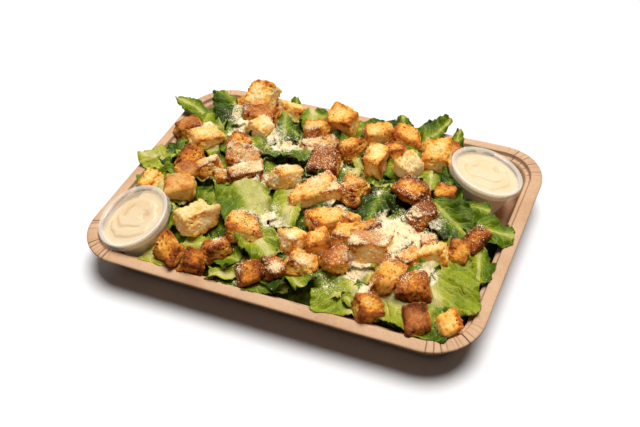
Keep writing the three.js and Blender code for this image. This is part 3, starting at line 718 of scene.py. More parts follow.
def tear(bm, unit, size, middle, seed):
    """Pulls the corners of a cube about and tips it a little."""
    pull = random.Random(seed * 13 + 5)
    corners = [
        (Vector((i, j, k)), Vector([pull.uniform(-1, 1) * side * TORN for side in size]))
        for i in (-0.5, 0.5) for j in (-0.5, 0.5) for k in (-0.5, 0.5)]
    tip = Euler([math.radians(pull.gauss(0, TIPPED)) for _ in range(3)]).to_matrix()
    for vert in bm.verts:
        at = unit[vert.index]
        for corner, offset in corners:
            share = 1.0
            for a, c in zip(at, corner):
                share *= 0.5 + 2 * a * c
            vert.co += offset * share
        vert.co = middle + tip @ (vert.co - middle)


def tree_of(mesh):
    """The faces of a mesh, ready for rays."""
    return BVHTree.FromPolygons(
        [v.co for v in mesh.vertices], [tuple(f.vertices) for f in mesh.polygons])


def crouton_from(solid, look, seed):
    """The crouton that takes the place of a solid, with its turn and its size."""
    axes = axes_of(solid)
    inward = [axes.transposed() @ v.co for v in solid.data.vertices]
    low, high = (Vector([pick(p[n] for p in inward) for n in range(3)]) for pick in (min, max))
    middle, size = axes @ ((low + high) / 2), high - low
    cuts = round(max(size) / (CUT_EVERY * MM))
    bm, unit = fine_cube(min(max(cuts, FEWEST_CUTS), MOST_CUTS))
    bmesh.ops.scale(bm, verts=bm.verts, vec=size)
    bmesh.ops.rotate(bm, verts=bm.verts, matrix=axes)
    walls = tree_of(solid.data)
    for vert in bm.verts:
        hit = walls.ray_cast(middle, vert.co.normalized())[0]
        vert.co = hit if hit is not None else middle + vert.co
    tear(bm, unit, size, middle, seed)
    bigger, *move, lean = MOVED.get(solid.name, (1.0, 0, 0, 0, 0))
    lean = Matrix.Rotation(math.radians(lean), 3, back)
    for vert in bm.verts:
        vert.co = middle + lean @ (vert.co - middle) * bigger + Vector(move) * MM
    toast(bm, look, seed, unit, size, axes)
    return bm


# node: how much bigger, moved by x, y, z in mm, turned to the camera in degrees
MOVED = {
    "crouton_09": (1.05, 0, 0, 0, -26), "crouton_43": (1.08, 0, 0, 0, 0),
    "crouton_12": (1.1, 0, 0, 1, -24), "crouton_14": (1.06, 0, 0, 0, 0),
    "crouton_28": (1.0, 0, 0, 0, 14), "crouton_32": (1.0, 0, 0, 0, -12),
    "crouton_48": (1.10, -1, 1, 1, 0), "crouton_49": (1.08, 1, -2, 0, 0),
    "crouton_50": (0.86, 0, 1, -4, 0), "crouton_51": (1.0, 0, 1, -4, 0),
    "crouton_52": (0.95, 0, 1, -4, -12),
}
crouton_nodes = sorted(name for name in solids if name.startswith("crouton_"))
print("crouton solids:", len(crouton_nodes))

# %% [markdown]
# The finish reads what the shaping noted on each point: the tone of the
# crumb, how near a corner is, how deep a pore is, where the crust is and
# where cheese lies. Deep pores get painted shade. Three sizes of noise make
# the toasting uneven, and small cells make the herb specks. The colours run
# from pale cream over gold and toast to nearly burnt. Pale crumb scatters
# light inside, which a little glow of its own colour stands in for.

# %% Toasted bread finish
toasted = Finish("toasted_bread")
here = toasted.place()
wide_patch = toasted.noise(here, 95, 3.0, 0.6)
small_patch = toasted.noise(here, 420, 3.0, 0.6)
crumbly = toasted.noise(here, 1500, 2.0, 0.6)
browned = (
    toasted.attribute("tone") * 0.72
    + toasted.attribute("corner") * 0.46
    + (wide_patch - 0.5)
    + (small_patch - 0.5) * 0.56
    + (crumbly - 0.5) * 0.45
    # painted shade in the pores
    + toasted.attribute("pit") * 0.36
    - 0.12
)
crumb_colour = toasted.ramp(
    browned, (0.00, 255, 222, 160), (0.16, 254, 203, 118), (0.34, 246, 182, 78),
    (0.52, 220, 136, 44), (0.70, 182, 98, 36), (1.00, 120, 58, 22))
crust_colour = toasted.ramp(
    browned + (crumbly - 0.5) * 0.5,
    (0.10, 228, 164, 104), (0.40, 200, 122, 62), (0.70, 160, 84, 36), (1.00, 100, 46, 18))
bread_colour = toasted.mix(toasted.attribute("rind"), crumb_colour, crust_colour)
herb_cells = toasted.cells(here, 260)
herb_spots = (1 - herb_cells.step(0.10, 0.17)) * toasted.noise(here, 120).step(0.54, 0.60)
bread_colour = toasted.mix(herb_spots * 0.8, bread_colour, shade(70, 62, 20))
dusting, powder = toasted.dust(280, 1.3, 0.32, 0.78)
bread_colour = toasted.mix(dusting * 0.80, bread_colour, shade(252, 228, 178))
pale_crumb = (0.75 - toasted.attribute("tone")) * (1 - toasted.attribute("rind"))
toasted.done(toasted.surface({
    "Base Color": bread_colour,
    "Emission Color": toasted.mix(pale_crumb.step(0.0, 0.6), shade(0, 0, 0), bread_colour),
    "Emission Strength": 0.17,
    "Roughness": 0.58 + powder * 0.35,
    "Specular IOR Level": 0.20,
    "Subsurface Weight": 0.45,
    "Subsurface Radius": (0.006, 0.003, 0.0012),
    "Subsurface Scale": 1.0,
    "Normal": toasted.bump(crumbly * 0.6 + powder * 0.6 + dusting * 0.5, 0.0008, 1.0),
}))

# %% [markdown]
# The croutons are made one after the other. The smallest ones have no solid
# of their own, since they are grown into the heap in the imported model, so
# each is a cube set down on the heap's top at its place.

# %% Bake the croutons
crouton_pieces = []
for number, (node, look) in enumerate(zip(crouton_nodes, BREAD)):
    bm = crouton_from(solids[node], look, number)
    crouton_pieces.append(
        hand_over("toasted_" + node, bm, toasted.material, "crouton", node))

# crumb: x, y, long, wide, high, turn, tone, crust, cheese
CRUMBS = [
    (-87, -11, 11, 10, 9, 20, 0.50, 0.0, 0.80),
    (-125, 99, 22, 12, 10, 30, 0.66, 0.3, 0.20),
    (-50, 47, 9, 9, 8, 40, 0.66, 0.0, 0.10),
    (1, 97, 16, 14, 14, 60, 0.60, 0.6, 0.10),
    (91, 97, 18, 14, 11, 20, 0.62, 0.6, 0.00),
    (107, 34, 13, 12, 10, 10, 0.64, 0.0, 0.20),
    (-39, -106, 14, 12, 8, 70, 0.80, 0.5, 0.05),
    (60, -31, 15, 13, 13, 35, 0.60, 0.0, 0.40),
    (45, -30, 12, 10, 8, 0, 0.50, 0.0, 0.85),
    (104, -51, 15, 14, 13, 50, 0.45, 0.0, 0.60),
    (112, -27, 14, 12, 11, 15, 0.62, 0.0, 0.60),
]
DOWN, UP = Vector((0, 0, -1)), Vector((0, 0, 1))
CRUMB_SEED = 70


def drop(tree, x, y, start=120):
    """What a thing dropped at a place in mm lands on: where, and how it faces."""
    return tree.ray_cast(Vector((x, y, start)) * MM, DOWN)[:2]


packed_heap = tree_of(solids["salad"].data)
for number, (x, y, long, wide, high, turn, tone, crust, dust) in enumerate(CRUMBS):
    top_of_heap = drop(packed_heap, x, y, 200)[0].z
    bm, unit = fine_cube(16)
    size = Vector((long, wide, high)) * MM
    bmesh.ops.scale(bm, verts=bm.verts, vec=size)
    axes = Matrix.Rotation(math.radians(turn), 3, "Z")
    bmesh.ops.rotate(bm, verts=bm.verts, matrix=axes)
    middle = Vector((x * MM, y * MM, top_of_heap - high * MM / 2))
    bmesh.ops.translate(bm, verts=bm.verts, vec=middle)
    tear(bm, unit, size, middle, CRUMB_SEED + number)
    look = (tone, "top" if crust else "none", crust, dust)
    toast(bm, look, CRUMB_SEED + number, unit, size, axes, 0.8)
    crouton_pieces.append(hand_over(
        "toasted_crumb_%02d" % (number + 1), bm, toasted.material, "crouton", "salad"))

# %% [markdown]
# ## The heap under the leaves
#
# Chopped romaine lies on itself, many layers deep. Only the top layers show,
# so a solid core fills the tray up to just under them. Its height follows the
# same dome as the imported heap, and noise gives it the relief of small leaves
# in the dark gaps.

# %% Heap height and core
# cup: the middle of its rim in mm, how far it leans and towards where, in degrees
CUPS = {
    "left": (Vector((-134, -86.5, 52.2)), 18.5, -137),
    "right": (Vector((132, 75, 47)), 19.2, 30),
}
RING_HIGH = 33.0
LID_BELOW, LID_RADIUS = 25.5, 34.4


def heap_height(x, y):
    """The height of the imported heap's dome, in mm."""
    across = min(abs(x) / (TRAY_LONG / 2 - 9.5), 1)
    deep = min(abs(y) / (TRAY_WIDE / 2 - 9.5), 1)
    dome = (1 - across ** 4) * (1 - deep ** 4)
    bumps = math.sin(0.13 * x + 1.1) * math.cos(0.17 * y + 0.4) * 1.6
    return 36 + 6.5 * dome + bumps * dome


def cup_axes(side):
    """The foot of a cup and its axis."""
    ring, tilt, towards = CUPS[side]
    tilt, towards = math.radians(tilt), math.radians(towards)
    axis = Vector((
        math.sin(tilt) * math.cos(towards), math.sin(tilt) * math.sin(towards),
        math.cos(tilt)))
    return ring - axis * RING_HIGH, axis


def cup_reach(height):
    """The cup's outside radius with its lid on, at a height along its axis."""
    return LID_RADIUS if height > LID_BELOW else 23.7 + 7.9 * height / 29.6


def out_of_cups(p, clear):
    """Moves a point (in mm) sideways until it is clear of both cups."""
    for side in CUPS:
        foot, axis = cup_axes(side)
        along = (p - foot).dot(axis)
        if not -3 < along < RING_HIGH + 1.5:
            continue
        from_axis = p - foot - axis * along
        room = cup_reach(along) + clear
        if from_axis.length < room:
            p = p + from_axis.normalized() * (room - from_axis.length)
    return p


def pushed(p, clear):
    """How far the cups push a point aside to keep it clear, in mm."""
    return (out_of_cups(p, clear) - p).length


# how far inside the outline, and what share of its full height the core has there
EDGE_RISE = [(15.0, 0.0), (16.9, 0.25), (21.5, 0.5), (29.5, 0.74), (49.5, 1.0)]
CORE_LONG, CORE_WIDE, CORE_FOOT = TRAY_LONG - 34, TRAY_WIDE - 34, 18
core_bm = bmesh.new()
bmesh.ops.create_grid(core_bm, x_segments=110, y_segments=80, size=0.5)
for vert in core_bm.verts:
    x, y = vert.co.x * CORE_LONG, vert.co.y * CORE_WIDE
    rise = between(EDGE_RISE, inset_at(x, y))
    q = Vector((x, y, 0))
    relief = hum(q, 0.09, 2.6) + hum(q, 0.22, 1.8) + hum(q, 0.5, 0.7)
    vert.co = Vector((x, y, CORE_FOOT + (heap_height(x, y) - 19 + relief) * rise))


def bare(p):
    """Where the core leaves the tray bare: at the rim, the cups and beside one."""
    if inset_at(p.x, p.y) < 15.5 or (p.x > 136 and 30 < p.y):
        return True
    return pushed(p, 1.5) > 0.01 or pushed(p - Vector((0, 0, 9)), 1.5) > 0.424


bmesh.ops.delete(core_bm, geom=[v for v in core_bm.verts if bare(v.co)], context="VERTS")
face_up(core_bm)
to_metres(core_bm)
print("core:", len(core_bm.faces), "faces")

# %% [markdown]
# ## Romaine leaves
#
# A piece of romaine is a thin, stiff, wet sheet. A broad pale rib runs along
# it, side veins leave the rib at a slant, and between the veins the blade is
# puckered; towards its rim it is longer than its seat, so it ruffles. Each
# row below places one piece that can be told apart. A grid is bent by the
# same two arcs as its solid, then gets its rib, puckers and ruffles, is
# turned into place, and is pressed down where a crouton lies on it.

# %% Leaves that can be told apart
# x, y, z, long, wide, turn, rise, roll, arch, cup, ruffle, outline,
# tone (0 dark, 1 yellow-green), where the rib is across it, the rib's width
LARGE = 13
LEAVES = [
    (-48, -41, 52, 56, 44, -46, -4, 3, 15, 10, 0.06, 0, 0.36, 0.72, 11.0),
    (141, -68, 44, 52, 50, -63, -13, 0, 16, -10, 0.07, 0, 0.56, 0.20, 9.0),
    (59, -97, 39, 42, 40, -76, -8, 0, 15, 10, 0.04, 0, 0.56, 0.90, 4.0),
    (55, -2, 51, 54, 36, -88, -3, 0, 50, -60, 0.16, 2, 0.10, 0.55, 1.6),
    (121, 3, 49, 48, 38, -33, -8, 10, 30, 25, 0.07, 2, 0.24, 0.50, 1.8),
    (-132, 85, 46, 50, 28, 139, 12, -10, 30, 20, 0.06, 1, 0.18, 0.12, 2.5),
    (-18, -76, 50, 42, 32, -32, -5, 0, 20, 15, 0.08, 0, 0.46, 0.50, 4.0),
    (152, 7, 42, 44, 34, 6, -4, 0, 26, -10, 0.08, 2, 0.32, 0.50, 1.6),
    (-88, -106, 34, 56, 24, 2, 0, 12, 8, 15, 0.08, 0, 0.66, 0.50, 3.0),
    (-43, 33, 52, 46, 26, 7, 2, -15, 20, 50, 0.08, 0, 0.30, 0.85, 3.0),
    (111, -99, 40, 40, 30, -6, -6, 14, 20, 50, 0.06, 0, 0.66, 0.70, 2.5),
    (-13, -33, 52, 44, 26, -76, -2, 0, 15, 15, 0.06, 0, 0.50, 0.60, 4.5),
    (65, 112, 42, 58, 25, 60, 15, 16, 24, 30, 0.06, 1, 0.28, 0.30, 1.4),
    (-148, 12, 40, 38, 30, -142, -6, 10, 20, 20, 0.1, 2, 0.12, 0.50, 1.6),
    (-38, 84, 51, 34, 28, 121, 10, 15, 30, 20, 0.14, 2, 0.50, 0.50, 2.5),
    (-160, 0, 40, 42, 30, 178, 8, 0, 26, -20, 0.14, 2, 0.64, 0.50, 2.0),
    (156, -32, 38, 38, 26, -76, -4, -14, 20, 30, 0.16, 2, 0.34, 0.50, 1.6),
    (-107, -75, 47, 32, 24, 93, 10, 0, 20, 20, 0.14, 2, 0.34, 0.50, 1.6),
    (-162, 76, 42, 52, 22, 161, 8, 0, 16, 10, 0.1, 1, 0.34, 0.45, 1.6),
    (88, -46, 51, 31, 20, -73, -6, 0, 20, 20, 0.05, 2, 0.40, 0.50, 1.5),
    (104, 56, 48, 36, 17, 111, 12, 0, 15, 30, 0.05, 1, 0.10, 0.50, 1.2),
    (136, 25, 46, 26, 22, 10, -6, 0, 30, -20, 0.12, 2, 0.30, 0.50, 1.2),
    (-60, 66, 53, 30, 18, 110, 20, 0, 20, 30, 0.06, 1, 0.28, 0.50, 1.2),
    (-24, -109, 33, 36, 19, -3, 0, 10, 12, 20, 0.08, 1, 0.24, 0.50, 1.2),
    (2, -108, 35, 36, 18, 8, 3, 10, 15, 30, 0.08, 1, 0.36, 0.50, 1.2),
    (-71, -91, 42, 26, 20, 1, 0, 6, 20, 20, 0.08, 2, 0.52, 0.50, 1.6),
    (43, 104, 43, 34, 20, 108, 34, 0, 20, 10, 0.1, 2, 0.22, 0.50, 1.4),
    (-38, -110, 35, 24, 16, 17, 0, 6, 10, 140, 0.02, 0, 0.60, 0.50, 2.0),
    (95, 103, 43, 36, 15, 98, 30, 0, 26, 40, 0.1, 1, 0.26, 0.50, 1.2),
    (92, 38, 52, 19, 14, 106, 20, 0, 20, 20, 0.05, 2, 0.38, 0.50, 1.2),
    (-65, 101, 43, 32, 14, 112, 30, 0, 10, 30, 0.08, 1, 0.22, 0.50, 1.2),
    (-60, -92, 43, 34, 24, 200, -6, 10, 20, 20, 0.1, 2, 0.34, 0.50, 1.6),
    (-100, 60, 46, 34, 24, 40, 6, -8, 20, 25, 0.1, 0, 0.26, 0.50, 2.0),
    (15, 108, 38, 36, 22, 176, 0, -14, 20, 25, 0.12, 2, 0.30, 0.50, 1.6),
    (-40, 108, 38, 34, 20, 190, 4, -12, 20, 25, 0.12, 2, 0.30, 0.50, 1.6),
    (110, 98, 35, 34, 20, 170, 0, -12, 20, 25, 0.12, 0, 0.30, 0.50, 2.0),
    (-152, -8, 38, 30, 22, 96, 0, 12, 20, 25, 0.12, 2, 0.62, 0.50, 1.6),
]
print("leaves:", len(LEAVES))

# %% The rest of the heap
# Smaller pieces with seeded places fill the heap between those, mostly dark.
fill_seed = random.Random(31)
FILLERS = []
while len(FILLERS) < 180:
    x = (fill_seed.random() - 0.5) * (TRAY_LONG - 52)
    y = (fill_seed.random() - 0.5) * (TRAY_WIDE - 48)
    if inset_at(x, y) < 22 or pushed(Vector((x, y, 40)), 12) > 0 or (x > 132 and y > 22):
        continue
    long = fill_seed.uniform(24, 42)
    under = any(math.hypot(x - row[0], y - row[1]) < row[3] * 0.5 for row in LEAVES[:LARGE])
    lower = (4 if inset_at(x, y) < 32 else 0) + (8 if under else 0)
    FILLERS.append((
        x, y, heap_height(x, y) + fill_seed.uniform(-1, 5) - lower,
        long, long * fill_seed.uniform(0.55, 0.85), fill_seed.uniform(0, 360),
        fill_seed.uniform(-16, 18), fill_seed.uniform(-18, 18),
        fill_seed.uniform(15, 50), fill_seed.uniform(-20, 60),
        fill_seed.uniform(0.07, 0.16), fill_seed.choice((0, 0, 1, 2)),
        fill_seed.choice((0.14, 0.2, 0.26, 0.34, 0.42, 0.5, 0.62)),
        fill_seed.choice((0.2, 0.5, 0.8)), fill_seed.choice((0.3, 0.3, 1.2, 1.6, 5.0)),
    ))
print("fillers:", len(FILLERS))

# %% What a leaf may not cross


def tops_of(pieces):
    """One tree of the faces of many pieces, to press on or to drop things on."""
    points, faces = [], []
    for piece in pieces:
        first = len(points)
        points += [v.co for v in piece.data.vertices]
        faces += [[first + i for i in f.vertices] for f in piece.data.polygons]
    return BVHTree.FromPolygons(points, faces)


toasted_tree = tops_of(crouton_pieces)
# how far inside the outline, and how high the board's top is there
TRAY_TOP = [(-4, 33.0), (0, 35.0), (4.7, 36.0), (10.3, 36.0), (10.6, 33.2), (13.9, 32.6),
            (14.7, 31.6), (20.5, 8.0), (27, 1.6)]
FAR, NEAR, UNDER = 0.05, 0.006, 9 * MM


def settle(p, press):
    """Moves a point (mm) out of the tray, the cups and the croutons' way."""
    inset = inset_at(p.x, p.y)
    if inset > TRAY_TOP[0][0]:
        p = Vector((p.x, p.y, max(p.z, between(TRAY_TOP, inset) + 0.6)))
    p = out_of_cups(p, 0.7)
    if not press:
        return p
    here = p * MM
    above = toasted_tree.ray_cast(here + UP * 0.0002, UP, FAR)
    if above[0] is not None and above[1].z > 0.05:
        below = toasted_tree.ray_cast(here, DOWN, FAR)[0]
        if below is not None and here.z - below.z < UNDER:
            p = Vector((p.x, p.y, below.z / MM - 0.5))
        return p
    under, facing = toasted_tree.ray_cast(here, DOWN, NEAR)[:2]
    if under is not None and facing.z > 0.3:
        p = Vector((p.x, p.y, under.z / MM - 1.8))
    return p


# %% Shape of one leaf
VEIN_GAP = 9.0
BLADE = 0.55


def leaf_width(u, outline):
    """How wide a leaf is along it: 1 a torn tip, 2 an oval, 0 a cut piece."""
    if outline == 1:
        return max(1 - abs(u) ** 2.2, 0.0) ** 0.6 * 0.82 + 0.18
    if outline == 2:
        return max(1 - (2 * u - 1) ** 2 * 0.92, 0.0) ** 0.5
    return 0.88 + 0.12 * math.sin(math.pi * u)


def leaf_shape(bm, row, seed, cell):
    """Adds one leaf to a mesh of leaves, in mm."""
    (x, y, z, long, wide, turn, rise, roll, arch, cup, ruffle, outline,
     tone, rib_at, rib_wide) = row
    vein = bm.verts.layers.float_vector["vein"]
    pale, depth, cheesy = (bm.verts.layers.float[name] for name in ("pale", "tone", "cheesy"))
    made = bmesh.ops.create_grid(
        bm, x_segments=max(round(long / cell), 8), y_segments=max(round(wide / cell), 8),
        size=0.5)["verts"]
    frame_of = Matrix.Translation((x, y, z)) @ (
        Matrix.Rotation(math.radians(turn), 4, "Z")
        @ Matrix.Rotation(math.radians(-rise), 4, "Y")
        @ Matrix.Rotation(math.radians(roll), 4, "X"))
    bend = math.radians(max(arch, 0.5)) / long
    curl = math.radians(cup or 0.5) / wide
    waves = max(round(long / 21), 1)
    shift = Vector((seed * 5.3, seed * 2.9, 0))
    for vert in made:
        u, v = vert.co.x + 0.5, vert.co.y + 0.5
        q = Vector((u * long, v * wide, 0)) + shift
        width = leaf_width(u, outline) * (1 + hum(q, 0.16, 0.05))
        t = (v - 0.5) * wide * width
        ragged = hum(Vector((t, seed * 7, 3)), 0.12, 3.0) + hum(Vector((t, seed * 7, 9)), 0.7, 1.2)
        s = (u - 0.5) * long + ragged * abs(2 * u - 1) ** 6
        edge = abs(2 * v - 1)
        margin = Vector((s, seed * 3 + (v > 0.5) * 40, 5))
        t += (hum(margin, 0.45, 1.2) + hum(margin, 0.85, 1.0)) * edge ** 8
        across = t - (rib_at - 0.5) * wide * width
        wave = math.sin(2 * math.pi * waves * u + (2.1 if v > 0.5 else 0))
        lift = wave * ruffle * wide * edge ** 1.5
        frill = max(edge - 0.5, 0) / 0.5
        long_frill = noise.noise(Vector((s * 0.13, seed * 3, v * 3)))
        short_frill = noise.noise(Vector((s * 0.32, seed * 3, v * 5)))
        lift += long_frill * frill ** 1.5 * (2.0 + ruffle * 34)
        lift += short_frill * frill ** 2 * (0.8 + ruffle * 20)
        from_rib = abs(across) / rib_wide
        slant = q.x - abs(across) * 0.9 + hum(q, 0.12, 3.5)
        bulge = abs(math.sin(math.pi * slant / VEIN_GAP)) ** 0.6
        slope = Vector((slant, across * 0.5, 0)) + shift
        pucker = bulge * (0.9 + hum(q, 0.06, 1.2)) + hum(slope, 0.2, 1.7)
        lift += pucker * soft_step(0.6, 2.2, from_rib) + hum(q, 0.42, 0.5)
        lift += hum(q, 0.05, 4.0) + hum(q, 0.1, 2.4)
        lift += math.exp(-from_rib ** 2) * min(0.5 + rib_wide * 0.11, 1.8)
        vert.co = frame_of @ Vector((
            math.sin(s * bend) / bend,
            math.sin(t * curl) / curl,
            (1 - math.cos(t * curl)) / curl - (1 - math.cos(s * bend)) / bend + lift))
        vert[vein] = Vector((slant * MM, across * MM, from_rib))
        vert[pale] = math.exp(-max(abs(across) - rib_wide * 0.5, 0) / (rib_wide * 0.85 + 3.0))
        vert[depth] = tone + hum(q, 0.05, 0.12)
    steep = abs(rise) > 24 or abs(cup) > 100
    for last in (False, False, True):
        moved = []
        for vert in made:
            free = settle(vert.co, not steep)
            if (free - vert.co).length > 0.05:
                vert.co = free
                moved.append(vert)
        if moved and not last:
            near = {w for v in moved for e in v.link_edges for w in e.verts}
            smooth_up(bm, list(near), 0.5)
    bm.normal_update()
    for vert in made:
        thick = cheese_at(vert.co.x, vert.co.y)
        vert[cheesy] = thick * soft_step(0.1, 0.7, abs(vert.normal.z))
        if thick > 0.2:
            vert.co.z += (thick - 0.2) * (0.6 + hum(vert.co, 0.4, 0.5))


def leaf_group(name, rows, seed, cell):
    """Makes one piece of many leaves; cell is the size of their grid in mm."""
    bm = bmesh.new()
    bm.verts.layers.float_vector.new("vein")
    for layer in ("pale", "tone", "cheesy"):
        bm.verts.layers.float.new(layer)
    for number, row in enumerate(rows):
        leaf_shape(bm, row, seed + number, cell)
    to_metres(bm)
    piece = hand_over(name, bm, romaine.material, "romaine", "salad")
    thicken(piece, BLADE, 0)
    return piece


# %% [markdown]
# The leaf finish reads a little map that the shaping left on each point: how
# far along and across the leaf it is, and how far from the rib in rib widths.
# Side veins are stripes in that map, slanted by the distance from the rib.
# The finest veins are the edges of small cells, and the blade bulges between
# them. Wet leaves are glossy, so a thin coat lies over a softer sheen.

# %% Romaine finish
romaine = Finish("romaine_leaf")
slant = romaine.node("SeparateXYZ", None, {"Vector": romaine.attribute("vein", "Vector")})
across, from_rib = (Wire(romaine, slant.socket.node.outputs[n]) for n in (1, 2))
blade_map = romaine.node("CombineXYZ", None, {"X": slant, "Y": across})
stripe = romaine.maths("PINGPONG", slant, VEIN_GAP * MM / 2) * (2 / (VEIN_GAP * MM))
side_vein = (1 - stripe.step(0.03, 0.22)) * (1 - from_rib.step(7.0, 16.0))
net = romaine.cells(blade_map, 300, "DISTANCE_TO_EDGE")
net_vein = 1 - net.step(0.02, 0.16)
fine_net = 1 - romaine.cells(blade_map, 760, "DISTANCE_TO_EDGE").step(0.02, 0.2)
rib = 1 - from_rib.step(0.55, 1.15)
strings = romaine.noise(
    romaine.node("Mapping", None, {"Vector": blade_map, "Scale": (60, 1400, 1)}), 1.0, 2.0)
patches = romaine.noise(romaine.place(), 60, 3.0)
green = (
    romaine.attribute("tone")
    + (patches - 0.5) * 0.42
    + romaine.attribute("pale") * 0.42
    + side_vein * 0.16 + net_vein * 0.08 + fine_net * 0.03
    - 0.11)
leaf_colour = romaine.ramp(
    green, (0.00, 20, 38, 3), (0.18, 58, 80, 6), (0.38, 98, 122, 12),
    (0.58, 148, 160, 30), (0.80, 192, 188, 74), (1.00, 222, 214, 130))
rib_colour = romaine.ramp(
    strings + (patches - 0.5) * 0.4,
    (0.30, 164, 170, 82), (0.55, 216, 204, 130), (0.75, 234, 220, 168))
rib_shows = rib * (romaine.attribute("tone") * 2.2 - 0.16).step(0.0, 1.0)
leaf_colour = romaine.mix(rib_shows, leaf_colour, rib_colour)
dusting = romaine.dust(240, 1.7, 0.45, 0.75)[0]
leaf_colour = romaine.mix(dusting * 0.95, leaf_colour, shade(254, 243, 214))
relief = (
    net.step(0.0, 0.30) * (1 - rib) * 0.9 + (1 - side_vein) * 0.5 * (1 - rib)
    + strings * rib * 0.35 + (1 - fine_net) * 0.15 + dusting * 0.8)
romaine.done(romaine.surface({
    "Base Color": leaf_colour,
    "Roughness": 0.34 + patches * 0.26,
    "Specular IOR Level": 0.2,
    "Coat Weight": 0.05,
    "Coat Roughness": 0.12,
    "Normal": romaine.bump(relief, 0.0005, 0.7),
}))

# %% Lay the leaves
CORE_DEEP = 8
depths = Finish("romaine_in_shade")
shadows = depths.noise(depths.place(), 160, 3.0)
depths.done(depths.surface({
    "Base Color": depths.ramp(
        shadows, (0.35, 40, 54, 8), (0.5, 72, 96, 16), (0.65, 114, 132, 32)),
    "Roughness": 0.6 + shadows * 0.3,
    "Specular IOR Level": 0.08,
}))
core = hand_over("heap_core", core_bm, depths.material, "romaine", "salad")
thicken(core, CORE_DEEP)
leaf_pieces = [
    leaf_group("leaves_large", LEAVES[:LARGE], 1, 1.15),
    leaf_group("leaves_small", LEAVES[LARGE:], 20, 1.3),
    leaf_group("leaves_under", FILLERS, 60, 2.2),
]

# %% [markdown]
# ## Grated parmesan and pepper
#
# Hard cheese from a fine grater comes as short curls and crumbs of one to
# three millimetres. Two dozen shapes are made once, each with few faces. The
# copies are dropped from above by rays, each a little turned, most of them in
# patches, and they pile up where a patch is thick. Ground pepper is scattered
# in the same way.

# %% A few shapes to scatter
# noise_vector starts from another seed in each run unless it is given one
noise.seed_set(5)
grate_seed = random.Random(5)
SHAPES = 24


def curl_shape(number):
    """One shred or crumb, about 1 mm in size, as a small mesh."""
    bm = bmesh.new()
    if number % 3 == 0:
        bmesh.ops.create_uvsphere(bm, u_segments=4, v_segments=2, radius=0.55)
        size = [grate_seed.uniform(0.6, 1.3) for _ in range(3)]
        bmesh.ops.scale(bm, verts=bm.verts, vec=size)
    else:
        bmesh.ops.create_cube(bm, size=1.0)
        length = grate_seed.uniform(1.5, 3.2)
        bend = number % 6 == 1
        if bend:
            long_edges = [e for e in bm.edges if abs((e.verts[0].co - e.verts[1].co).x) > 0.5]
            bmesh.ops.subdivide_edges(bm, edges=long_edges, cuts=1)
        bmesh.ops.scale(bm, verts=bm.verts, vec=(
            length, grate_seed.uniform(0.5, 0.8), grate_seed.uniform(0.35, 0.55)))
        bow = grate_seed.uniform(0.2, 0.7) if bend else 0.0
        for vert in bm.verts:
            vert.co.z += bow * (1 - (2 * vert.co.x / length) ** 2)
    for vert in bm.verts:
        vert.co += noise.noise_vector(vert.co * 1.7 + Vector((number, 0, 0))) * 0.14
    bmesh.ops.recalc_face_normals(bm, faces=bm.faces)
    to_metres(bm)
    mesh = bpy.data.meshes.new("shape")
    bm.to_mesh(mesh)
    bm.free()
    return mesh


shapes = [curl_shape(number) for number in range(SHAPES)]
print("shapes:", len(shapes), "faces each:", len(shapes[1].polygons))

# %% Where things land
landing = tops_of(crouton_pieces + leaf_pieces + [core])
bed = tops_of(leaf_pieces + [core])


def scatter(drawn, seed, scale, pile, sink=0.0):
    """A mesh with one copy for each (x, y, share of the pile) in mm that lands well."""
    bm = bmesh.new()
    for x, y, share in drawn:
        hit, facing = drop(landing, x, y)
        if hit is None or inset_at(x, y) < FLANGE_END:
            continue
        drifted = drop(drift_tree, x, y)
        if drifted[0] is not None and drifted[0].z > hit.z:
            hit, facing = drifted
        if pushed(hit / MM, 0.5) > 0:
            continue
        if facing.z < 0:
            facing = -facing
        if seed.random() > 0.06 + soft_step(0.2, 0.75, facing.z):
            continue
        size = scale * seed.uniform(0.6, 1.15)
        lie = facing.to_track_quat("Z", "Y").to_matrix().to_4x4()
        spin = Euler((seed.gauss(0, 0.35), seed.gauss(0, 0.35), seed.uniform(0, 6.3)))
        lift = (seed.random() ** 2) * pile * share - sink
        place = Matrix.Translation(hit + facing * lift * MM) @ lie @ spin.to_matrix().to_4x4()
        shape = shapes[seed.randrange(len(shapes))]
        copy = place @ Matrix.Scale(size, 4)
        shape.transform(copy)
        bm.from_mesh(shape)
        shape.transform(copy.inverted())
    return bm


# %% [markdown]
# Where cheese lies thickest its shreds close up and hide what is below. Loose
# shreds alone would need many thousands for that, so a low bumpy sheet goes
# under them: a fine grid, dropped onto the leaves and kept only where the map
# of cheese is thick. Its steep faces are cut away, because grated cheese slides
# off a slope, and a Solidify modifier gives it a little depth.

# %% Drifts
DRIFT_FROM, DRIFT_STEP, STEEPEST = 0.8, 1.1, 0.72
DRIFT_LONG, DRIFT_WIDE, DRIFT_IN = 310, 210, 24


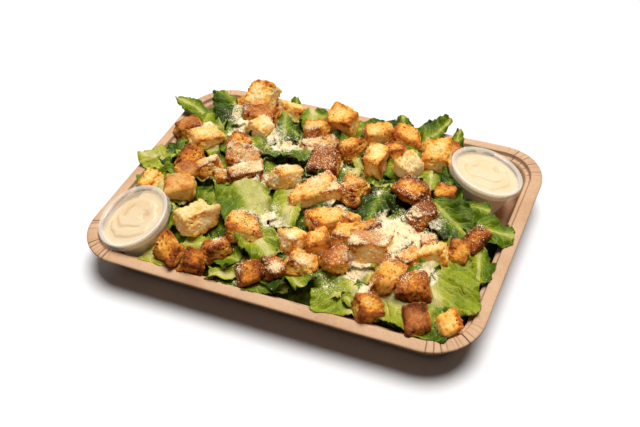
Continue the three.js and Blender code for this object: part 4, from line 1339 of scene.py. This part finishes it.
def drift_points(bm):
    """Lays a grid on whatever is below and keeps it where cheese is thick."""
    bmesh.ops.create_grid(
        bm, x_segments=round(DRIFT_LONG / DRIFT_STEP),
        y_segments=round(DRIFT_WIDE / DRIFT_STEP), size=0.5)
    spare = []
    for vert in bm.verts:
        x, y = vert.co.x * DRIFT_LONG, vert.co.y * DRIFT_WIDE
        thick = cheese_at(x, y)
        hit = None
        if thick > DRIFT_FROM and inset_at(x, y) > DRIFT_IN:
            hit = drop(bed, x, y)[0]
        if hit is None or pushed(hit / MM, 2) > 0:
            spare.append(vert)
            continue
        rough = hum(Vector((x, y, 0)), 0.25, 1.8) + hum(Vector((x, y, 5)), 1, 0.9)
        vert.co = Vector((x, y, hit.z / MM + (thick - DRIFT_FROM) * 2.2 + rough - 0.5)) * MM
    bmesh.ops.delete(bm, geom=spare, context="VERTS")
    for _ in range(2):
        smooth_up(bm, bm.verts, 0.4)
    bm.normal_update()
    steep = [face for face in bm.faces if abs(face.normal.z) < STEEPEST]
    bmesh.ops.delete(bm, geom=steep, context="FACES")
    for face in bm.faces:
        if face.normal.z < 0:
            face.normal_flip()


drift_bm = bmesh.new()
drift_points(drift_bm)
drift_tree = BVHTree.FromBMesh(drift_bm)
print("drift faces:", len(drift_bm.faces))

# %% Drop the shreds
SHREDS_EACH, LOOSE = 3.05, 2000
drawn = []
for x, y, radius, count in CHEESE:
    for _ in range(round(count * SHREDS_EACH)):
        away = abs(grate_seed.gauss(0, radius * 0.62))
        way = grate_seed.uniform(0, 2 * math.pi)
        drawn.append((
            x + away * math.cos(way), y + away * math.sin(way),
            math.exp(-(away / radius) ** 2) * min(count / radius ** 2, 2.2)))
for _ in range(LOOSE):
    drawn.append((grate_seed.gauss(5, 70), grate_seed.gauss(-10, 45), 0.1))
grate_seed.shuffle(drawn)
coarse = scatter(drawn[::2], grate_seed, 0.52, 1.2)
fine = scatter(drawn[1::2], grate_seed, 0.38, 1.4)

# %% Cheese finish
parmesan = Finish("grated_parmesan")
here = parmesan.place()
uneven = parmesan.noise(here, 700) * 0.5 + parmesan.noise(here, 45) * 0.5
parmesan.done(parmesan.surface({
    "Base Color": parmesan.ramp(
        uneven, (0.3, 255, 230, 184), (0.5, 255, 241, 206), (0.7, 255, 250, 228)),
    # A faint glow of the cheese's own colour is painted light, standing in for light scattered
    # inside the shreds.
    "Emission Color": shade(255, 234, 190),
    "Emission Strength": 0.24,
    "Roughness": 0.5 + uneven * 0.2,
    "Specular IOR Level": 0.3,
    "Normal": parmesan.bump(uneven, 0.0002, 0.5),
}))
for name, heap in (("grated_parmesan_coarse", coarse), ("grated_parmesan_fine", fine)):
    cheese = hand_over(name, heap, parmesan.material, "dressing", "salad", smooth=False)
    print("triangles:", sum(len(f.vertices) - 2 for f in cheese.data.polygons))

# In a drift the gaps between the shreds get painted shade, darker than their tops, and a faint
# glow of the cheese's own colour is painted light.
packed = Finish("packed_parmesan")
here = packed.place()
gap_shade = packed.cells(here, 420).step(0.28, 0.60) * 0.7 + packed.noise(here, 240) * 0.5
packed.done(packed.surface({
    "Base Color": packed.ramp(
        gap_shade, (0.15, 255, 250, 230), (0.45, 250, 232, 196), (0.85, 206, 176, 126)),
    "Emission Color": shade(255, 238, 204),
    "Emission Strength": 0.16,
    "Roughness": 0.6,
    "Specular IOR Level": 0.3,
    "Normal": packed.bump(1 - gap_shade, 0.0006, 0.7),
}))
thicken(hand_over("parmesan_drifts", drift_bm, packed.material, "dressing", "salad"), 0.5)

# %% Pepper
# x, y and spread in mm, and how many flecks
PEPPER = [
    (-33, -61, 15, 130), (0, -10, 90, 190), (97, -29, 22, 50), (-60, 40, 60, 90),
    (90, -60, 50, 80), (-70, 0, 22, 50),
]
pepper_seed = random.Random(12)
drawn = [
    (pepper_seed.gauss(x, radius * 0.6), pepper_seed.gauss(y, radius * 0.6), 0.2)
    for x, y, radius, count in PEPPER for _ in range(count)]
flecks_bm = scatter(drawn, pepper_seed, 0.7, 0.6, -0.1)
pepper = Finish("ground_pepper")
flecks = pepper.noise(pepper.place(), 900)
pepper.done(pepper.surface({
    "Base Color": pepper.ramp(flecks, (0.4, 38, 26, 18), (0.6, 84, 60, 38)),
    "Roughness": 0.6 + flecks * 0.3,
}))
hand_over("ground_pepper", flecks_bm, pepper.material, "crouton", "salad", smooth=False)

# %% [markdown]
# ## Portion cups
#
# Each cup is thin clear plastic with a snap-on lid: a raised ring that grips
# the rim, a sunken panel inside it and a short skirt outside. Both are turned
# shapes, so a profile is spun once round. Thin plastic hardly bends light, so
# its finish lets it straight through where it is seen square on, and shines
# and looks milky at a grazing angle. The dressing is spun too, a little wider
# than the inside of the cup, so that no gap of air shows.

# %% Turned pieces
# radius and height in mm, from the axis round the outside and back to the axis
CUP_PROFILE = [
    (0, 0), (22.4, 0), (23.3, 0.3), (23.8, 1.2), (26.4, 11), (28.9, 20.5), (31.2, 28.6),
    (31.4, 29.6), (32.3, 30.0), (32.5, 30.5), (32.2, 31.0), (31.0, 31.0), (30.6, 30.4),
    (30.4, 28.6), (28.1, 20.5), (25.6, 11), (23.0, 1.6), (22.4, 1.0), (0, 0.9),
]
LID_PROFILE = [
    (0, 30.1), (17.2, 30.1), (17.8, 30.35), (18.6, 30.35), (19.2, 30.1), (27.6, 30.1),
    (28.8, 30.4), (29.6, 31.8), (30.4, 32.2), (31.6, 32.2), (32.0, 32.5), (32.4, 32.4),
    (32.7, 31.6), (32.9, 27.6), (33.9, 27.0), (34.0, 27.5), (33.5, 27.9), (33.4, 31.8),
    (33.1, 32.7), (32.4, 33.2), (31.7, 33.0), (31.2, 32.8), (30.4, 32.8), (29.4, 32.5),
    (28.4, 31.2), (27.4, 30.8), (19.6, 30.8), (19.0, 31.05), (17.4, 31.05), (16.8, 30.8),
    (0, 30.8),
]


def spun(profile, steps=72):
    """A closed turned shape from a profile whose ends lie on the axis."""
    bm = bmesh.new()
    verts = [bm.verts.new((radius, 0, height)) for radius, height in profile]
    edges = [bm.edges.new(pair) for pair in zip(verts, verts[1:])]
    bmesh.ops.spin(
        bm, geom=verts + edges, cent=(0, 0, 0), axis=(0, 0, 1),
        angle=2 * math.pi, steps=steps, use_merge=True)
    bmesh.ops.remove_doubles(bm, verts=bm.verts, dist=0.001)
    bmesh.ops.recalc_face_normals(bm, faces=bm.faces)
    return bm


def stand_up(bm, side):
    """Puts a turned shape on its cup's leaning axis."""
    foot, axis = cup_axes(side)
    turn = Vector((0, 0, 1)).rotation_difference(axis).to_matrix().to_4x4()
    bmesh.ops.transform(
        bm, verts=bm.verts, matrix=Matrix.Scale(MM, 4) @ Matrix.Translation(foot) @ turn)


# %% Clear plastic finish
clear = Finish("clear_plastic")
here = clear.place()
handled = clear.noise(here, 90, 3.0)
facing = clear.node("LayerWeight", None, {"Blend": 0.32}, "Facing")
shell = clear.surface({
    "Base Color": clear.ramp(
        handled, (0.3, (0.98, 0.94, 0.87, 1)), (0.7, (1.0, 0.97, 0.92, 1))),
    # A faint glow of the plastic's own colour is painted light; it makes the plastic look whiter.
    "Emission Color": shade(250, 240, 222),
    "Emission Strength": 0.12,
    "Roughness": 0.08 + handled * 0.10,
    "Specular IOR Level": 0.8,
})
through = clear.node("BsdfTransparent", None, {"Color": (0.99, 0.975, 0.95, 1)})
milky = 0.03 + clear.attribute("frost") * 0.42 + facing * 0.18
clear.done(clear.node("MixShader", None, {0: milky, 1: through, 2: shell}))

# %% Cups and lids


def frost(bm, panel, ring):
    """Notes how milky the plastic is: the outer edge of the ring is milkiest."""
    milk = bm.verts.layers.float.new("frost")
    for vert in bm.verts:
        radius = vert.co.xy.length
        top = soft_step(31.4, 32.7, vert.co.z)
        share = soft_step(26.5, 28.8, radius) * (0.10 + 0.55 * top)
        share += 0.35 * top * soft_step(31.6, 32.6, radius)
        vert[milk] = panel + (ring - panel) * share


for side in CUPS:
    bm = spun(CUP_PROFILE)
    frost(bm, 0.12, 0.12)
    stand_up(bm, side)
    hand_over("clear_cup_" + side, bm, clear.material, "cup_plastic", "cup_" + side)
    bm = spun(LID_PROFILE)
    frost(bm, 0.0, 1.0)
    stand_up(bm, side)
    hand_over("clear_lid_" + side, bm, clear.material, "lid_plastic", "lid_" + side)

# %% [markdown]
# The dressing was poured thick and pressed flat by the lid. Where it touches
# the panel it is level with an uneven outline; beyond that it drops, and it
# keeps the fold and the dimple of the spoon, both darkened with painted shade.

# %% Dressing
# cup: a seed, which way the dressing falls away (degrees) and how far (mm),
# where the spoon's dimple is (mm), and how its fold is turned
POURED = {
    "left": (3, 158, 3.4, Vector((9.5, 3.0)), 0.9),
    "right": (11, 150, 1.2, Vector((8.0, 12.0)), 0.3),
}
LEVEL, FILL_RADIUS, FILL_RINGS = 30.02, 30.75, 56


def poured(x, y, side):
    """How far the dressing lies under the lid's panel, and how much painted shade its folds and
    dimple get.
    """
    seed, away, fall, dimple_at, fold_turn = POURED[side]
    away = math.radians(away)
    p, q = Vector((x, y)), Vector((x, y, seed))
    down = 1.5 * soft_step(20.5, 22.5, p.length + hum(q, 0.13, 3.0))
    toward = p.dot(Vector((math.cos(away), math.sin(away))))
    down += fall * soft_step(16.5, 21.0, toward + hum(q, 0.2, 2.0))
    turn = math.atan2(y, x)
    fold = p.length - 14.5 - 3.0 * math.sin(turn * 1.5 + 0.7) - hum(q, 0.07, 6.0)
    crease = soft_step(-1.2, 0.2, fold) * (1 - soft_step(0.4, 3.4, fold))
    crease *= 1 if math.sin(turn + fold_turn) < 0.2 else 0.25
    dimple = 1 - soft_step(1.5, 6.0, (p - dimple_at).length + hum(q, 0.3, 2.0))
    down += 1.0 * crease + 1.9 * dimple
    return down + abs(hum(q, 0.35)) * 0.25, max(crease, dimple * 0.8)


cream = Finish("caesar_dressing")
here = cream.place()
thick = cream.noise(here, 70, 3.0)
spots = (1 - cream.cells(here, 330).step(0.08, 0.14)) * cream.noise(here, 150).step(0.56, 0.62)
cream_colour = cream.ramp(thick, (0.35, 250, 222, 180), (0.6, 253, 230, 196))
# painted shade in the folds and the dimple
cream_colour = cream.mix(cream.attribute("folded") * 0.6, cream_colour, shade(226, 194, 126))
cream_colour = cream.mix(spots * 0.5, cream_colour, shade(150, 120, 70))
cream.done(cream.surface({
    "Base Color": cream_colour,
    "Roughness": 0.30 + thick * 0.15,
    "Subsurface Weight": 0.5,
    "Subsurface Radius": (0.008, 0.006, 0.003),
    "Subsurface Scale": 1.0,
    "Normal": cream.bump(thick, 0.0004, 0.4),
}))
for side in CUPS:
    rings = [(FILL_RADIUS * step / FILL_RINGS, LEVEL) for step in range(FILL_RINGS, -1, -1)]
    bm = spun([(0, 0.5), (23.0, 0.8), (23.4, 1.2), (28.4, 20.5), (30.7, 28.2)] + rings, 96)
    # Each point on the top notes how much painted shade its fold or dimple gets.
    folded = bm.verts.layers.float.new("folded")
    for vert in bm.verts:
        if vert.co.z > LEVEL - 0.12:
            under, vert[folded] = poured(vert.co.x, vert.co.y, side)
            vert.co.z -= under
    stand_up(bm, side)
    hand_over("dressing_" + side + "_cup", bm, cream.material, "dressing", "dressing_" + side)
